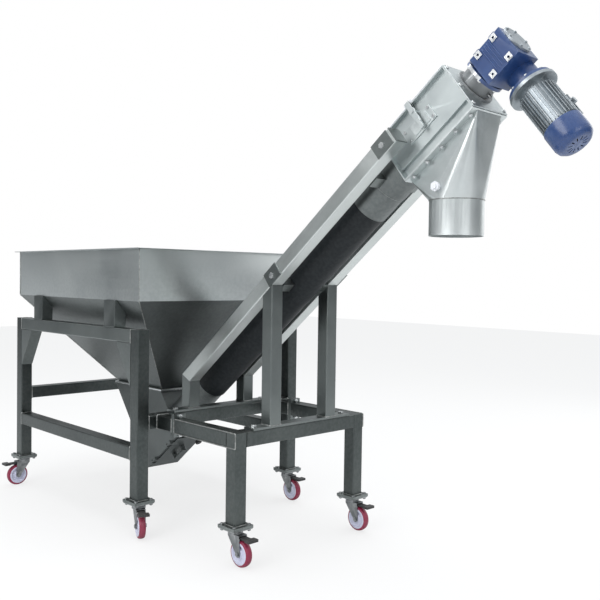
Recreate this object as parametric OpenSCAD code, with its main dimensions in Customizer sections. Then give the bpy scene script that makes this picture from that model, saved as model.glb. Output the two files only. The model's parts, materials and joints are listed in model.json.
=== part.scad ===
// Mobile inclined screw conveyor for grain and seed, with a receiving hopper.
// Millimetres, +Z up, resting on its six casters. The screw climbs towards -Y and the
// hopper stands at +Y. The origin is on the floor under the middle of the whole machine.

/* [Frame tube] */
// Outside of the square frame tube
tube = 60; // [50:2:70]
// Wall of the square frame tube
tube_wall = 3; // [2:0.5:4]

/* [Hopper frame] */
// Width over the four hopper legs
frame_w = 940; // [900:10:1200]
// Depth over the four hopper legs
frame_d = 1210; // [1150:10:1500]
// Height of the top beams above the floor
frame_h = 900; // [880:10:1100]
// Top of the two lower side rails
side_rail_top = 390; // [330:10:420]
// Reach of a corner gusset along the beam
gusset_reach = 120; // [80:10:160]
// Drop of a corner gusset down the leg
gusset_drop = 190; // [120:10:240]

/* [Cart] */
// Width of the cart over its two legs
cart_w = 740; // [640:10:860]
// Reach of the cart in front of the hopper frame
cart_l = 545; // [460:10:640]
// Top of the cart deck and of the cross rails
deck_top = 525; // [490:5:560]
// Distance of the bolted flange joint in front of the hopper frame
flange_joint = 120; // [90:5:160]

/* [Hopper] */
// Top of the hopper rim above the floor
hopper_top = 1254; // [1200:10:1400]
// Height of the hopper's upright band
band_h = 231; // [150:10:300]
// Sheet thickness of the hopper
sheet = 3; // [2:0.5:4]
// Gap from the frame's outside to the hopper's band
hopper_inset = 12; // [4:2:30]
// Reach of the rim lip
lip = 22; // [10:2:40]
// Inside width of the hopper outlet
outlet_w = 150; // [130:5:180]
// Inside length of the hopper outlet
outlet_l = 400; // [300:10:460]
// Underside of the hopper outlet flange
outlet_z = 560; // [540:5:600]
// Border of the outlet flange round the opening
outlet_border = 20; // [14:2:40]
// Thickness of the outlet flange
outlet_flange_t = 8; // [5:1:12]

/* [Conveyor] */
// Incline of the screw above the floor
incline = 38.8; // [35:0.2:42]
// Height where the screw axis crosses the hopper frame's front plane
axis_z = 700; // [680:5:740]
// Width over the two conveyor rails
rails_w = 380; // [360:5:440]
// Depth of the screw axis below the top faces of the rails
axis_below_rail_top = 34; // [30:1:40]
// Upper end of the rails along the axis
rail_end = 1479; // [1400:10:1600]
// Distance of the rear posts behind the hopper frame's front plane
post_setback = 12; // [0:2:20]

/* [Screw] */
// Diameter of the screw flight
flight_d = 134; // [110:2:138]
// Pitch of the screw flight
flight_pitch = 130; // [100:5:150]
// Diameter of the screw shaft
shaft_d = 48; // [38:2:60]
// Thickness of the flight
flight_t = 5; // [3:1:8]

/* [Tubes and trough] */
// Outside diameter of the lower tube
lower_tube_d = 146; // [144:1:150]
// Outside diameter of the black casing
casing_d = 155; // [153:1:156]
// Outside diameter of the upper tube
upper_tube_d = 160; // [160:1:166]
// Wall of the steel tubes
tube_sheet = 2; // [1.5:0.5:3]
// Lower end of the casing along the axis
casing_start = -113; // [-150:5:-60]
// Upper end of the visible casing along the axis
casing_end = 1139; // [1000:10:1200]
// Half of the trough's depth
trough_half = 110; // [100:2:130]
// Thickness of the trough's sheet
trough_t = 4; // [3:1:6]

/* [Discharge head] */
// Lower end plate of the head box along the axis
head_start = 1379; // [1300:1:1420]
// Upper end plate of the head box along the axis
head_end = 1732; // [1700:1:1800]
// Half of the head box's width
head_half_w = 84; // [82:1:100]
// Half of the head flanges' width
head_flange_half = 103; // [100:1:120]
// Head box top above the axis
head_top = 90; // [86:2:110]
// Head box bottom flange below the axis
head_bottom = 108; // [100:2:130]
// Thickness of the head sheet and flanges
head_t = 4; // [3:1:6]
// Diameter of the spout collar
collar_d = 190; // [150:5:220]
// Height of the spout collar
collar_h = 124; // [80:5:160]
// Bottom of the spout collar above the floor
collar_z = 1286; // [1260:5:1320]

/* [Gearmotor] */
// Gearbox centre along the axis
gear_s = 1870; // [1865:1:1880]
// Length of the gearbox body along the axis
gear_body_l = 138; // [120:2:150]
// Width of the gearbox body across the machine
gear_body_w = 122; // [110:2:140]
// Diameter of the gearbox output flange
output_flange_d = 146; // [140:2:180]
// Distance of the motor axis from the screw axis
worm_offset = 50; // [40:1:63]
// Diameter of the gearbox input flange
input_flange_d = 156; // [140:2:170]
// Diameter of the motor flange
motor_flange_d = 168; // [150:2:200]
// Distance from the screw axis down to the motor flange
motor_drop = 140; // [130:2:160]
// Diameter of the motor body without its fins
motor_body_d = 112; // [100:2:120]
// Height of a cooling fin
fin_h = 9; // [5:1:12]
// Length of the motor body
motor_body_l = 160; // [130:5:200]
// Length of the fan cover
fan_cover_l = 84; // [70:2:110]
// Spacing of the gearbox pads' threaded holes along the axis
pad_pitch_s = 72; // [60:1:80]
// Spacing of the gearbox pads' threaded holes across the axis
pad_pitch_n = 94; // [80:1:100]
// Radius of a threaded hole in the gearbox pads
pad_hole_r = 4.25; // [3:0.25:5]

/* [Casters] */
// Diameter of a caster wheel
wheel_d = 110; // [100:5:120]
// Width of a caster wheel
wheel_w = 32; // [26:2:36]
// Height of a caster from the floor to its plate's top
caster_h = 148; // [146:2:170]
// Trail of the wheel behind the swivel axis
trail = 38; // [30:2:44]
// Thickness of a leg's foot plate
foot_plate_t = 12; // [8:1:16]
// Side of a leg's foot plate
foot_plate = 100; // [92:2:120]
// Spacing of the foot plate bolts
foot_bolt_pitch = 76; // [74:1:90]

/* [Hidden] */
$fn = 48;

// Clearances
pin_play = 0.05;
bolt_play = 0.25;
gap = 0.5;
eps = 1;

// Colours
STEEL = [0.62, 0.66, 0.65];
DARK_STEEL = [0.45, 0.48, 0.48];
BLACK = [0.10, 0.11, 0.12];
BLUE = [0.15, 0.28, 0.55];
ALUMINIUM = [0.80, 0.82, 0.83];
WHITE = [0.90, 0.91, 0.94];
RED = [0.62, 0.08, 0.16];

// Frame levels
leg_base = caster_h + foot_plate_t;
inner_tube = tube - 2 * tube_wall;
hopper_leg_x = (frame_w - tube) / 2;
cart_leg_x = (cart_w - tube) / 2;
cart_leg_y = -cart_l + tube / 2;
rail_x = (rails_w - tube) / 2;

// Casters: each site's leg and the way the wheel trails (0 is -Y, -90 is -X)
function site_leg(i) = [[-cart_leg_x, cart_leg_y], [cart_leg_x, cart_leg_y], [-hopper_leg_x, tube / 2],
                        [hopper_leg_x, tube / 2], [-hopper_leg_x, frame_d - tube / 2],
                        [hopper_leg_x, frame_d - tube / 2]][i];
function site_heading(i) = [0, 0, -20, 0, -90, 90][i];

// Conveyor frame: s runs up the screw axis, n is square to it and up
function conv_y(s, n) = -s * cos(incline) + n * sin(incline);
function conv_z(s, n) = axis_z + s * sin(incline) + n * cos(incline);
function s_at(y, n) = n * tan(incline) - y / cos(incline);
rail_top_n = axis_below_rail_top;
rail_low_n = axis_below_rail_top - tube;

// Gearmotor levels, measured down the motor axis from the screw axis
output_flange_t = 12;
gear_front = gear_s - gear_body_l / 2;
lantern_start = head_end + 5;
lantern_end = gear_front - output_flange_t - 4;
motor_flange_t = 12;
motor_body_start = motor_drop + motor_flange_t;
motor_body_end = motor_body_start + motor_body_l;
motor_end = motor_body_end + fan_cover_l;
fan_cover_d = motor_body_d + 2 * fin_h + 4;

// Middle of the machine's length, from the hopper rim to the fan cover
rear_reach = frame_d - hopper_inset + lip;
front_reach = conv_y(gear_s, -motor_end) - fan_cover_d / 2 * cos(incline);
front_y = -(rear_reach + front_reach) / 2;

module on_floor() { translate([0, front_y, 0]) children(); }
module on_conveyor() { translate([0, front_y, axis_z]) rotate([90 - incline, 0, 0]) children(); }
module on_motor() { on_conveyor() translate([worm_offset, 0, gear_s]) rotate([90, 0, 0]) children(); }
module at_site(i) {
    leg = site_leg(i);
    translate([leg[0], front_y + leg[1], 0]) rotate(site_heading(i)) children();
}
module both_sides() {
    children();
    mirror([1, 0, 0]) children();
}

// A side view's outline, [y, z] on the floor or [n, s] on the conveyor, given a width in X
module slab(width, outline, x = 0) {
    translate([x, 0, 0]) rotate([90, 0, 90]) translate([0, 0, -width / 2]) linear_extrude(width) polygon(outline);
}
module ring(outer_r, inner_r, length) {
    difference() {
        cylinder(r = outer_r, h = length);
        translate([0, 0, -eps]) cylinder(r = inner_r, h = length + 2 * eps);
    }
}
// Square tube standing on the XY plane, with a closed top when capped
module square_tube(length, capped = false) {
    difference() {
        translate([-tube / 2, -tube / 2, 0]) cube([tube, tube, length]);
        translate([-inner_tube / 2, -inner_tube / 2, -eps])
            cube([inner_tube, inner_tube, length + (capped ? eps - tube_wall : 2 * eps)]);
    }
}
module tube_along_y(length) { rotate([-90, 0, 0]) square_tube(length); }
module tube_along_x(length) { translate([-length / 2, 0, 0]) rotate([0, 90, 0]) square_tube(length); }
// Hexagon bolt with its nut: the head's seat is the XY plane and the shank runs down
module bolt(d, grip) {
    head_r = d;
    nut_h = 0.8 * d;
    cylinder(r = head_r, h = 0.65 * d, $fn = 6);
    translate([0, 0, -grip - nut_h - 0.3 * d]) cylinder(d = d, h = grip + nut_h + 0.3 * d + eps);
    translate([0, 0, -grip - nut_h]) cylinder(r = head_r, h = nut_h, $fn = 6);
}
// Hexagon screw with no nut
module screw(d, length) {
    cylinder(r = d, h = 0.65 * d, $fn = 6);
    translate([0, 0, -length]) cylinder(d = d, h = length + eps);
}
module plate_holes(pitch, d, depth) {
    for (x = [-1, 1], y = [-1, 1])
        translate([x * pitch / 2, y * pitch / 2, -eps]) cylinder(d = d, h = depth + 2 * eps);
}

// ---- Frame ----

foot_bolt_d = 8;
caster_plate = foot_plate - 4;
caster_plate_t = 4;

module legs() {
    color(STEEL) {
        for (i = [0, 1]) at_site_leg(i) square_tube(deck_top - leg_base, true);
        for (i = [2:5]) at_site_leg(i) square_tube(frame_h - leg_base, true);
    }
}
module at_site_leg(i) {
    leg = site_leg(i);
    translate([leg[0], front_y + leg[1], leg_base]) children();
}
module foot_plates() {
    color(STEEL) for (i = [0:5]) at_site_leg(i) translate([0, 0, -foot_plate_t]) difference() {
        translate([-foot_plate / 2, -foot_plate / 2, 0]) cube([foot_plate, foot_plate, foot_plate_t]);
        plate_holes(foot_bolt_pitch, foot_bolt_d + 2 * bolt_play, foot_plate_t);
    }
}
module top_beams() {
    color(STEEL) on_floor() both_sides() translate([hopper_leg_x, tube, frame_h - tube / 2])
        tube_along_y(frame_d - 2 * tube);
}
// Folded gusset, open towards the leg, so the sheet follows the beam and the slope
module corner_gusset() {
    slope = norm([gusset_reach, gusset_drop]);
    inner_drop = gusset_drop * (1 - tube_wall * slope / (gusset_reach * gusset_drop));
    inner_reach = gusset_reach * (1 - tube_wall / gusset_drop - tube_wall * slope / (gusset_reach * gusset_drop));
    difference() {
        slab(tube, [[0, 0], [gusset_reach, 0], [0, -gusset_drop]]);
        slab(tube - 2 * tube_wall, [[-eps, -tube_wall], [inner_reach, -tube_wall],
             [-eps, -inner_drop - eps * gusset_drop / gusset_reach]]);
    }
}
module corner_gussets() {
    color(STEEL) on_floor() both_sides() for (end = [0, 1])
        translate([hopper_leg_x, end * frame_d, frame_h - tube]) mirror([0, end, 0])
            translate([0, tube, 0]) corner_gusset();
}
module lower_rails() {
    color(STEEL) on_floor() {
        both_sides() translate([hopper_leg_x, tube, side_rail_top - tube / 2]) tube_along_y(frame_d - 2 * tube);
        for (y = [tube / 2, frame_d - tube / 2])
            translate([0, y, deck_top - tube / 2]) tube_along_x(frame_w - 2 * tube);
    }
}
joint_plate_t = 10;
parting = 0.4;
joint_plate_h = 98;
joint_bolt_d = 10;
joint_bolt_rise = joint_plate_h / 2 - 9;
module cart_beams() {
    color(STEEL) on_floor() {
        translate([0, cart_leg_y, deck_top - tube / 2]) tube_along_x(cart_w - 2 * tube);
        both_sides() {
            translate([cart_leg_x, -cart_l + tube, deck_top - tube / 2])
                tube_along_y(cart_l - tube - flange_joint - joint_plate_t);
            translate([cart_leg_x, joint_plate_t + parting - flange_joint, deck_top - tube / 2])
                tube_along_y(flange_joint - joint_plate_t - parting);
        }
    }
}
module joint_flanges() {
    color(STEEL) on_floor() both_sides() for (y = [-joint_plate_t, parting])
        translate([cart_leg_x, y - flange_joint, deck_top - tube / 2]) difference() {
            translate([-tube / 2, 0, -joint_plate_h / 2]) cube([tube, joint_plate_t, joint_plate_h]);
            for (z = [-1, 1]) translate([0, -eps, z * joint_bolt_rise]) rotate([-90, 0, 0])
                cylinder(d = joint_bolt_d + 2 * bolt_play, h = joint_plate_t + 2 * eps);
        }
}

// ---- Conveyor frame ----

foot_bar_t = 10;
foot_bar_bolt_x = rails_w / 2 + 63;
foot_bar_bolt_d = 12;
foot_bar_l = 2 * (foot_bar_bolt_x + 25);
front_post_y = -cart_l;
rear_post_y = post_setback;
post_base = deck_top + foot_bar_t;
clamp_bolt_d = 12;
clamp_s = s_at(-cart_l + tube / 2, 0);
head_strap_s = rail_end - 50;

module foot_bars() {
    color(STEEL) on_floor() for (y = [cart_leg_y, tube / 2]) translate([0, y, deck_top]) difference() {
        translate([-foot_bar_l / 2, -tube / 2, 0]) cube([foot_bar_l, tube, foot_bar_t]);
        for (x = [-1, 1]) translate([x * foot_bar_bolt_x, 0, -eps])
            cylinder(d = foot_bar_bolt_d + 2 * bolt_play, h = foot_bar_t + 2 * eps);
    }
}
function under_rail_z(y) = conv_z(s_at(y, rail_low_n), rail_low_n);
// Along the mitre between a rail and its rear post, where the rail's level is n
function mitre_s(n) = s_at(rear_post_y, rail_low_n)
    + (n - rail_low_n) / tube * (s_at(rear_post_y + tube, rail_top_n) - s_at(rear_post_y, rail_low_n));
function mitre_z(y) = conv_z(mitre_s(rail_low_n), rail_low_n) + (y - rear_post_y) / tube
    * (conv_z(mitre_s(rail_top_n), rail_top_n) - conv_z(mitre_s(rail_low_n), rail_low_n));
module post_outline(y, top_a, top_b) {
    inner_a = top_a + (top_b - top_a) * tube_wall / tube;
    inner_b = top_b - (top_b - top_a) * tube_wall / tube;
    difference() {
        slab(tube, [[y, post_base], [y + tube, post_base], [y + tube, top_b], [y, top_a]]);
        slab(inner_tube, [[y + tube_wall, post_base - eps], [y + tube - tube_wall, post_base - eps],
             [y + tube - tube_wall, inner_b + eps], [y + tube_wall, inner_a + eps]]);
    }
}
module conveyor_posts() {
    color(STEEL) on_floor() both_sides() translate([rail_x, 0, 0]) {
        post_outline(front_post_y, under_rail_z(front_post_y), under_rail_z(front_post_y + tube));
        post_outline(rear_post_y, mitre_z(rear_post_y), mitre_z(rear_post_y + tube));
    }
}
module conveyor_rails() {
    low = rail_low_n + tube_wall;
    high = rail_top_n - tube_wall;
    color(STEEL) on_conveyor() both_sides() difference() {
        slab(tube, [[rail_low_n, mitre_s(rail_low_n)], [rail_low_n, rail_end], [rail_top_n, rail_end],
             [rail_top_n, mitre_s(rail_top_n)]], rail_x);
        slab(inner_tube, [[low, mitre_s(low) - eps], [low, rail_end + eps], [high, rail_end + eps],
             [high, mitre_s(high) - eps]], rail_x);
        for (s = [clamp_s + support_l, head_strap_s]) translate([rail_x - tube, 0, s]) rotate([0, 90, 0])
            cylinder(d = clamp_bolt_d + 2 * bolt_play, h = 2 * tube);
    }
}
rail_plate_t = 5;
clamp_plate_l = 84;
support_l = 44;
strap_t = 5;
strap_l = 165;
strap_s = casing_end + 4;
strap_bolts = [-60, 0, 60];
strap_bolt_d = 8;
// Block from a rail in to a tube of the given radius, under the tube's side
module tube_support(s, r) {
    difference() {
        translate([r - 12, -30, s - support_l / 2]) cube([rails_w / 2 - tube - r + 12, 34, support_l]);
        translate([0, 0, s - support_l]) cylinder(r = r, h = 2 * support_l);
    }
}
module rail_plates() {
    color(STEEL) on_conveyor() both_sides() {
        tube_support(clamp_s, casing_d / 2);
        tube_support(collar_start + support_l / 2 + 4, tube_collar_r);
        translate([rails_w / 2 - tube - strap_t, -16, strap_s - strap_l / 2]) difference() {
            cube([strap_t, 32, strap_l]);
            for (s = strap_bolts) translate([-eps, 16, strap_l / 2 + s]) rotate([0, 90, 0])
                cylinder(d = strap_bolt_d + 2 * bolt_play, h = strap_t + 2 * eps);
        }
        translate([rail_x - tube / 2, rail_low_n, rail_end]) cube([tube, tube, rail_plate_t]);
        for (s = [clamp_s + support_l, head_strap_s])
            translate([rails_w / 2, rail_low_n, s - clamp_plate_l / 2]) difference() {
                cube([rail_plate_t, tube, clamp_plate_l]);
                translate([-eps, -rail_low_n, clamp_plate_l / 2]) rotate([0, 90, 0])
                    cylinder(d = clamp_bolt_d + 2 * bolt_play, h = rail_plate_t + 2 * eps);
            }
    }
}
module frame_bolts() {
    color(DARK_STEEL) {
        on_floor() both_sides() {
            for (y = [cart_leg_y, tube / 2]) translate([foot_bar_bolt_x, y, deck_top + foot_bar_t])
                screw(foot_bar_bolt_d, foot_bar_t);
            for (z = [-1, 1]) translate([cart_leg_x, joint_plate_t + parting - flange_joint,
                deck_top - tube / 2 + z * joint_bolt_rise]) rotate([-90, 0, 0])
                bolt(joint_bolt_d, 2 * joint_plate_t + parting);
        }
        on_conveyor() both_sides() {
            for (s = [clamp_s + support_l, head_strap_s]) translate([rails_w / 2 + rail_plate_t, 0, s])
                rotate([0, 90, 0]) bolt(clamp_bolt_d, tube + rail_plate_t);
            for (s = strap_bolts) translate([rails_w / 2 - tube - strap_t, 0, strap_s + s]) rotate([0, -90, 0])
                screw(strap_bolt_d, strap_t);
        }
    }
}

// ---- Casters ----

kingpin_r = 6;
pin_r = 3;
pedal_drop = 30;
pedal_tip = 74;
crown_base = caster_h - 24;
crown_top = caster_h - caster_plate_t - gap;
cheek_t = 3;
cheek_x = wheel_w / 2 + 2;
pedal_z = caster_h - pedal_drop;

module caster_plates() {
    color(STEEL) for (i = [0:5]) at_site(i) {
        translate([0, 0, caster_h - caster_plate_t]) rotate(-site_heading(i)) difference() {
            translate([-caster_plate / 2, -caster_plate / 2, 0]) cube([caster_plate, caster_plate, caster_plate_t]);
            plate_holes(foot_bolt_pitch, foot_bolt_d + 2 * bolt_play, caster_plate_t);
        }
        translate([0, 0, crown_base - 6]) cylinder(r = kingpin_r, h = caster_h - caster_plate_t - crown_base + 7);
        translate([0, 0, crown_base - 6]) cylinder(r = kingpin_r + 3, h = 5.5);
    }
}
module caster_bolts() {
    color(DARK_STEEL) for (i = [0:5]) at_site_leg(i) for (x = [-1, 1], y = [-1, 1])
        translate([x * foot_bolt_pitch / 2, y * foot_bolt_pitch / 2, 0])
            bolt(foot_bolt_d, foot_plate_t + caster_plate_t);
}
// Caster fork at the swivel axis, trailing towards -Y
module fork(i) {
    axle_z = wheel_d / 2;
    color(STEEL) at_site(i) difference() {
        union() {
            translate([0, 0, crown_base]) cylinder(r = 30, h = 11);
            translate([0, 0, crown_base]) cylinder(r = 26, h = crown_top - crown_base);
            translate([-cheek_x - cheek_t, -trail - 8, crown_base]) cube([2 * (cheek_x + cheek_t), trail + 30, 4]);
            for (side = [-1, 1]) {
                slab(cheek_t, [[22, crown_base + 4], [-trail - 8, crown_base + 4], [-trail - 14, axle_z],
                     [-trail + 12, axle_z], [22, crown_base - 6]], side * (cheek_x + cheek_t / 2));
                translate([side * (cheek_x + cheek_t / 2) - cheek_t / 2, -trail, axle_z]) rotate([0, 90, 0])
                    cylinder(r = 13.5, h = cheek_t);
                translate([side * (cheek_x + cheek_t + 2.5) - 2.5, -trail, axle_z]) rotate([0, 90, 0])
                    cylinder(r = 9, h = 5, $fn = 6);
            }
            translate([-cheek_x - cheek_t, -trail, axle_z]) rotate([0, 90, 0])
                cylinder(r = kingpin_r, h = 2 * (cheek_x + cheek_t));
            translate([-cheek_x - cheek_t, -trail, pedal_z]) rotate([0, 90, 0])
                cylinder(r = pin_r, h = 2 * (cheek_x + cheek_t));
        }
        translate([0, 0, crown_base - eps]) cylinder(r = kingpin_r + pin_play, h = 30);
    }
}
hub_r = wheel_d / 2 - 13;
module wheel(i) {
    at_site(i) translate([0, -trail, wheel_d / 2]) rotate([0, 90, 0]) {
        color(RED) rotate_extrude() polygon([[hub_r + 0.15, -wheel_w / 2 + 2], [wheel_d / 2 - 5, -wheel_w / 2],
            [wheel_d / 2 - 1, -wheel_w / 2 + 4], [wheel_d / 2, -wheel_w / 2 + 9], [wheel_d / 2, wheel_w / 2 - 9],
            [wheel_d / 2 - 1, wheel_w / 2 - 4], [wheel_d / 2 - 5, wheel_w / 2], [hub_r + 0.15, wheel_w / 2 - 2]]);
        color(WHITE) difference() {
            union() {
                translate([0, 0, -wheel_w / 2 + 2]) cylinder(r = hub_r, h = wheel_w - 4);
                translate([0, 0, -wheel_w / 2 - 1]) cylinder(r = 13, h = wheel_w + 2);
            }
            for (side = [0, 1]) mirror([0, 0, side]) translate([0, 0, wheel_w / 2 - 6]) ring(hub_r - 5, 14, 10);
            translate([0, 0, -wheel_w]) cylinder(r = kingpin_r + pin_play, h = 2 * wheel_w);
        }
    }
}
module pedal(i) {
    arm_w = 2 * cheek_x - 4;
    color(BLACK) at_site(i) translate([0, -trail, pedal_z]) difference() {
        union() {
            translate([-arm_w / 2, 0, 0]) rotate([0, 90, 0]) cylinder(r = 5.5, h = arm_w);
            translate([-arm_w / 2, -pedal_tip + 10, -4]) cube([arm_w, pedal_tip - 10, 7]);
            translate([-24, -pedal_tip, -5]) cube([48, 28, 11]);
        }
        translate([-arm_w, 0, 0]) rotate([0, 90, 0]) cylinder(r = pin_r + pin_play, h = 2 * arm_w);
    }
}

// ---- Hopper ----

band_x = frame_w / 2 - hopper_inset;
band_y = frame_d / 2 - hopper_inset;
band_base = hopper_top - band_h;
cone_base = outlet_z + outlet_flange_t;
// Corner points of the hopper's sheet: how far out in X and Y, and how high
HOPPER_X = [band_x + lip, band_x + lip, band_x, band_x, outlet_w / 2 + sheet, outlet_w / 2,
            band_x - sheet, band_x - sheet];
HOPPER_Y = [band_y + lip, band_y + lip, band_y, band_y, outlet_l / 2 + sheet, outlet_l / 2,
            band_y - sheet, band_y - sheet];
HOPPER_Z = [hopper_top, hopper_top - sheet, hopper_top - sheet, band_base, cone_base, cone_base,
            band_base + sheet / 2, hopper_top];
// One of the four panels: across runs between the mitres and out points away from the middle
module hopper_panel(across, out) {
    points = concat([for (k = [0:7]) [-across[k], -out[k], HOPPER_Z[k]]],
                    [for (k = [0:7]) [across[k], -out[k], HOPPER_Z[k]]]);
    ends = [[0, 1, 2], [0, 2, 7], [2, 3, 6], [2, 6, 7], [3, 4, 5], [3, 5, 6]];
    polyhedron(points, concat(ends, [for (f = ends) [f[2] + 8, f[1] + 8, f[0] + 8]],
        [for (k = [0:7]) [k, k + 8, (k + 1) % 8 + 8, (k + 1) % 8]]));
}
module on_hopper() { on_floor() translate([0, frame_d / 2, 0]) children(); }
module hopper_end_panels() {
    color(STEEL) on_hopper() for (turn = [0, 180]) rotate(turn) hopper_panel(HOPPER_X, HOPPER_Y);
}
module hopper_side_panels() {
    color(STEEL) on_hopper() for (turn = [90, 270]) rotate(turn) hopper_panel(HOPPER_Y, HOPPER_X);
}
module outlet_flange() {
    color(STEEL) on_hopper() translate([0, 0, outlet_z]) difference() {
        translate([-inlet_w / 2, -inlet_l / 2, 0]) cube([inlet_w, inlet_l, outlet_flange_t]);
        translate([-outlet_w / 2, -outlet_l / 2, -eps]) cube([outlet_w, outlet_l, outlet_flange_t + 2 * eps]);
    }
}
hopper_foot_w = 94;
hopper_foot_y = 247;
hopper_foot_drop = 60;
function cone_x(z) = outlet_w / 2 + sheet + (band_x - outlet_w / 2 - sheet) * (z - cone_base) / (band_base - cone_base);
// Channel foot with two flared gussets, from the top beam to the hopper's sloping side
module hopper_foot() {
    outer = frame_w / 2 - 4;
    low = band_base - hopper_foot_drop;
    for (y = [-hopper_foot_w / 2, hopper_foot_w / 2 - 4]) translate([0, y + 4, 0]) rotate([90, 0, 0])
        linear_extrude(4) polygon([[frame_w / 2 - tube, frame_h + 4], [outer, frame_h + 4], [outer, band_base],
            [cone_x(band_base) + gap, band_base], [cone_x(low) + gap, low]]);
    translate([frame_w / 2 - tube, -hopper_foot_w / 2, frame_h]) cube([tube, hopper_foot_w, 4]);
    translate([outer - 4, -hopper_foot_w / 2, frame_h + 4]) cube([4, hopper_foot_w, band_base - frame_h - 4]);
}
module hopper_feet() {
    color(STEEL) on_hopper() both_sides() for (side = [-1, 1])
        translate([0, side * (frame_d / 2 - hopper_foot_y), 0]) hopper_foot();
}

// ---- Trough, screw and tubes ----

journal_r = 15;
trough_flange_t = 6;
inlet_w = outlet_w + 2 * outlet_border;
inlet_l = outlet_l + 2 * outlet_border;
inlet_z = outlet_z - trough_flange_t;
function n_at(s, z) = (z - axis_z - s * sin(incline)) / cos(incline);
// Where a plane square to the axis passes through a point y, z
function s_through(y, z) = (z - axis_z) * sin(incline) - y * cos(incline);
trough_inset = 5;
trough_w = inlet_w - 2 * trough_inset;
trough_front = s_through((frame_d - inlet_l) / 2 + trough_inset, inlet_z);
trough_tail = s_through((frame_d + inlet_l) / 2 - trough_inset, inlet_z);
door_w = trough_w - 60;
door_l = trough_front - trough_tail - 110;
door_s = (trough_front + trough_tail) / 2;

// Side outline of the trough, [n, s], between its floor and the middle of the inlet flange
function trough_outline(t) = let (top = inlet_z + trough_flange_t / 2, tail = trough_tail + t, front = trough_front - t)
    [[t - trough_half, tail], [n_at(tail, top), tail], [n_at(front, top), front], [t - trough_half, front]];
module door_site(s) { translate([-door_hinge_x, door_hinge_n, door_s + s]) children(); }
// Lugs and pin for one hinge whose knuckle lies along s between them
module hinge_lugs(reach, width) {
    for (side = [-1, 1]) translate([0, 0, side * (knuckle_l / 2 + gap + lug_t / 2) - lug_t / 2])
        translate([-knuckle_r - gap, -width / 2, 0]) cube([knuckle_r + gap + reach, width, lug_t]);
    translate([0, 0, -knuckle_l / 2 - gap - lug_t]) cylinder(r = pin_r, h = knuckle_l + 2 * (gap + lug_t));
}
module knuckle(reach, tab_t) {
    difference() {
        union() {
            translate([0, 0, -knuckle_l / 2]) cylinder(r = knuckle_r, h = knuckle_l);
            translate([0, -tab_t / 2, -knuckle_l / 2]) cube([reach, tab_t, knuckle_l]);
        }
        translate([0, 0, -knuckle_l]) cylinder(r = pin_r + pin_play, h = 2 * knuckle_l);
    }
}
module trough() {
    inner = trough_outline(trough_t);
    lift = [[0, 0], [3 * trough_t, 0], [3 * trough_t, 0], [0, 0]];
    color(STEEL) difference() {
        union() {
            on_conveyor() difference() {
                slab(trough_w, trough_outline(0));
                slab(trough_w - 2 * trough_t, inner + lift);
            }
            on_hopper() translate([-inlet_w / 2, -inlet_l / 2, inlet_z]) cube([inlet_w, inlet_l, trough_flange_t]);
            on_conveyor() for (s = [-1, 1]) door_site(s * door_hinge_s) hinge_lugs(lug_reach, 20);
        }
        on_hopper() translate([-outlet_w / 2, -outlet_l / 2, inlet_z - trough_flange_t])
            cube([outlet_w, outlet_l, 3 * trough_flange_t]);
        on_conveyor() {
            translate([0, 0, trough_tail - eps]) cylinder(r = journal_r + gap, h = trough_t + 2 * eps);
            translate([0, 0, trough_front - trough_t - eps]) cylinder(d = lower_tube_d, h = trough_t + 2 * eps);
            translate([-door_w / 2, -trough_half - eps, door_s - door_l / 2])
                cube([door_w, trough_t + 2 * eps, door_l]);
        }
    }
}
bearing_l = 62;
module tail_bearing() {
    color(DARK_STEEL) on_conveyor() translate([0, 0, trough_tail]) mirror([0, 0, 1]) difference() {
        union() {
            cylinder(r = 62, h = 12);
            cylinder(r = 46, h = bearing_l);
        }
        translate([0, 0, -eps]) cylinder(r = journal_r + pin_play, h = bearing_l - 5);
    }
}
door_t = 4;
door_lap = 15;
knuckle_l = 30;
knuckle_r = 6;
lug_t = 3;
door_hinge_x = trough_w / 2 + 8;
door_hinge_n = -trough_half - gap - door_t / 2;
door_hinge_s = door_l / 2 - knuckle_l;
lug_reach = 8 + trough_t / 2;
knob_x = door_w / 2 + 8;
knob_s = door_s + door_l / 2 - 25;
knob_r = 16;
module cleanout_door() {
    color(STEEL) on_conveyor() {
        for (s = [-1, 1]) door_site(s * door_hinge_s) knuckle(door_hinge_x - door_w / 2, door_t);
        difference() {
            translate([-door_w / 2 - door_lap, door_hinge_n - door_t / 2, door_s - door_l / 2 - door_lap])
                cube([door_w + 2 * door_lap, door_t, door_l + 2 * door_lap]);
            translate([knob_x, door_hinge_n + door_t, knob_s]) rotate([90, 0, 0])
                cylinder(r = pin_r + pin_play, h = 4 * door_t);
        }
        translate([0, door_hinge_n - door_t / 2, door_s]) rotate([90, 0, 0]) difference() {
            translate([-10, -45, 0]) cube([20, 90, 28]);
            translate([-10 - eps, -37, -eps]) cube([20 + 2 * eps, 74, 22]);
        }
    }
}
module door_knob() {
    color(BLACK) on_conveyor() translate([knob_x, door_hinge_n - door_t / 2 - gap, knob_s]) rotate([90, 0, 0]) {
        cylinder(r = 8, h = 8);
        translate([0, 0, 8]) cylinder(r = knob_r, h = 14);
        translate([0, 0, -gap - door_t]) cylinder(r = pin_r, h = gap + door_t + eps);
    }
}
collar_start = 1258;
tube_collar_r = upper_tube_d / 2 + 3;
casing_lap = 60;
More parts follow.
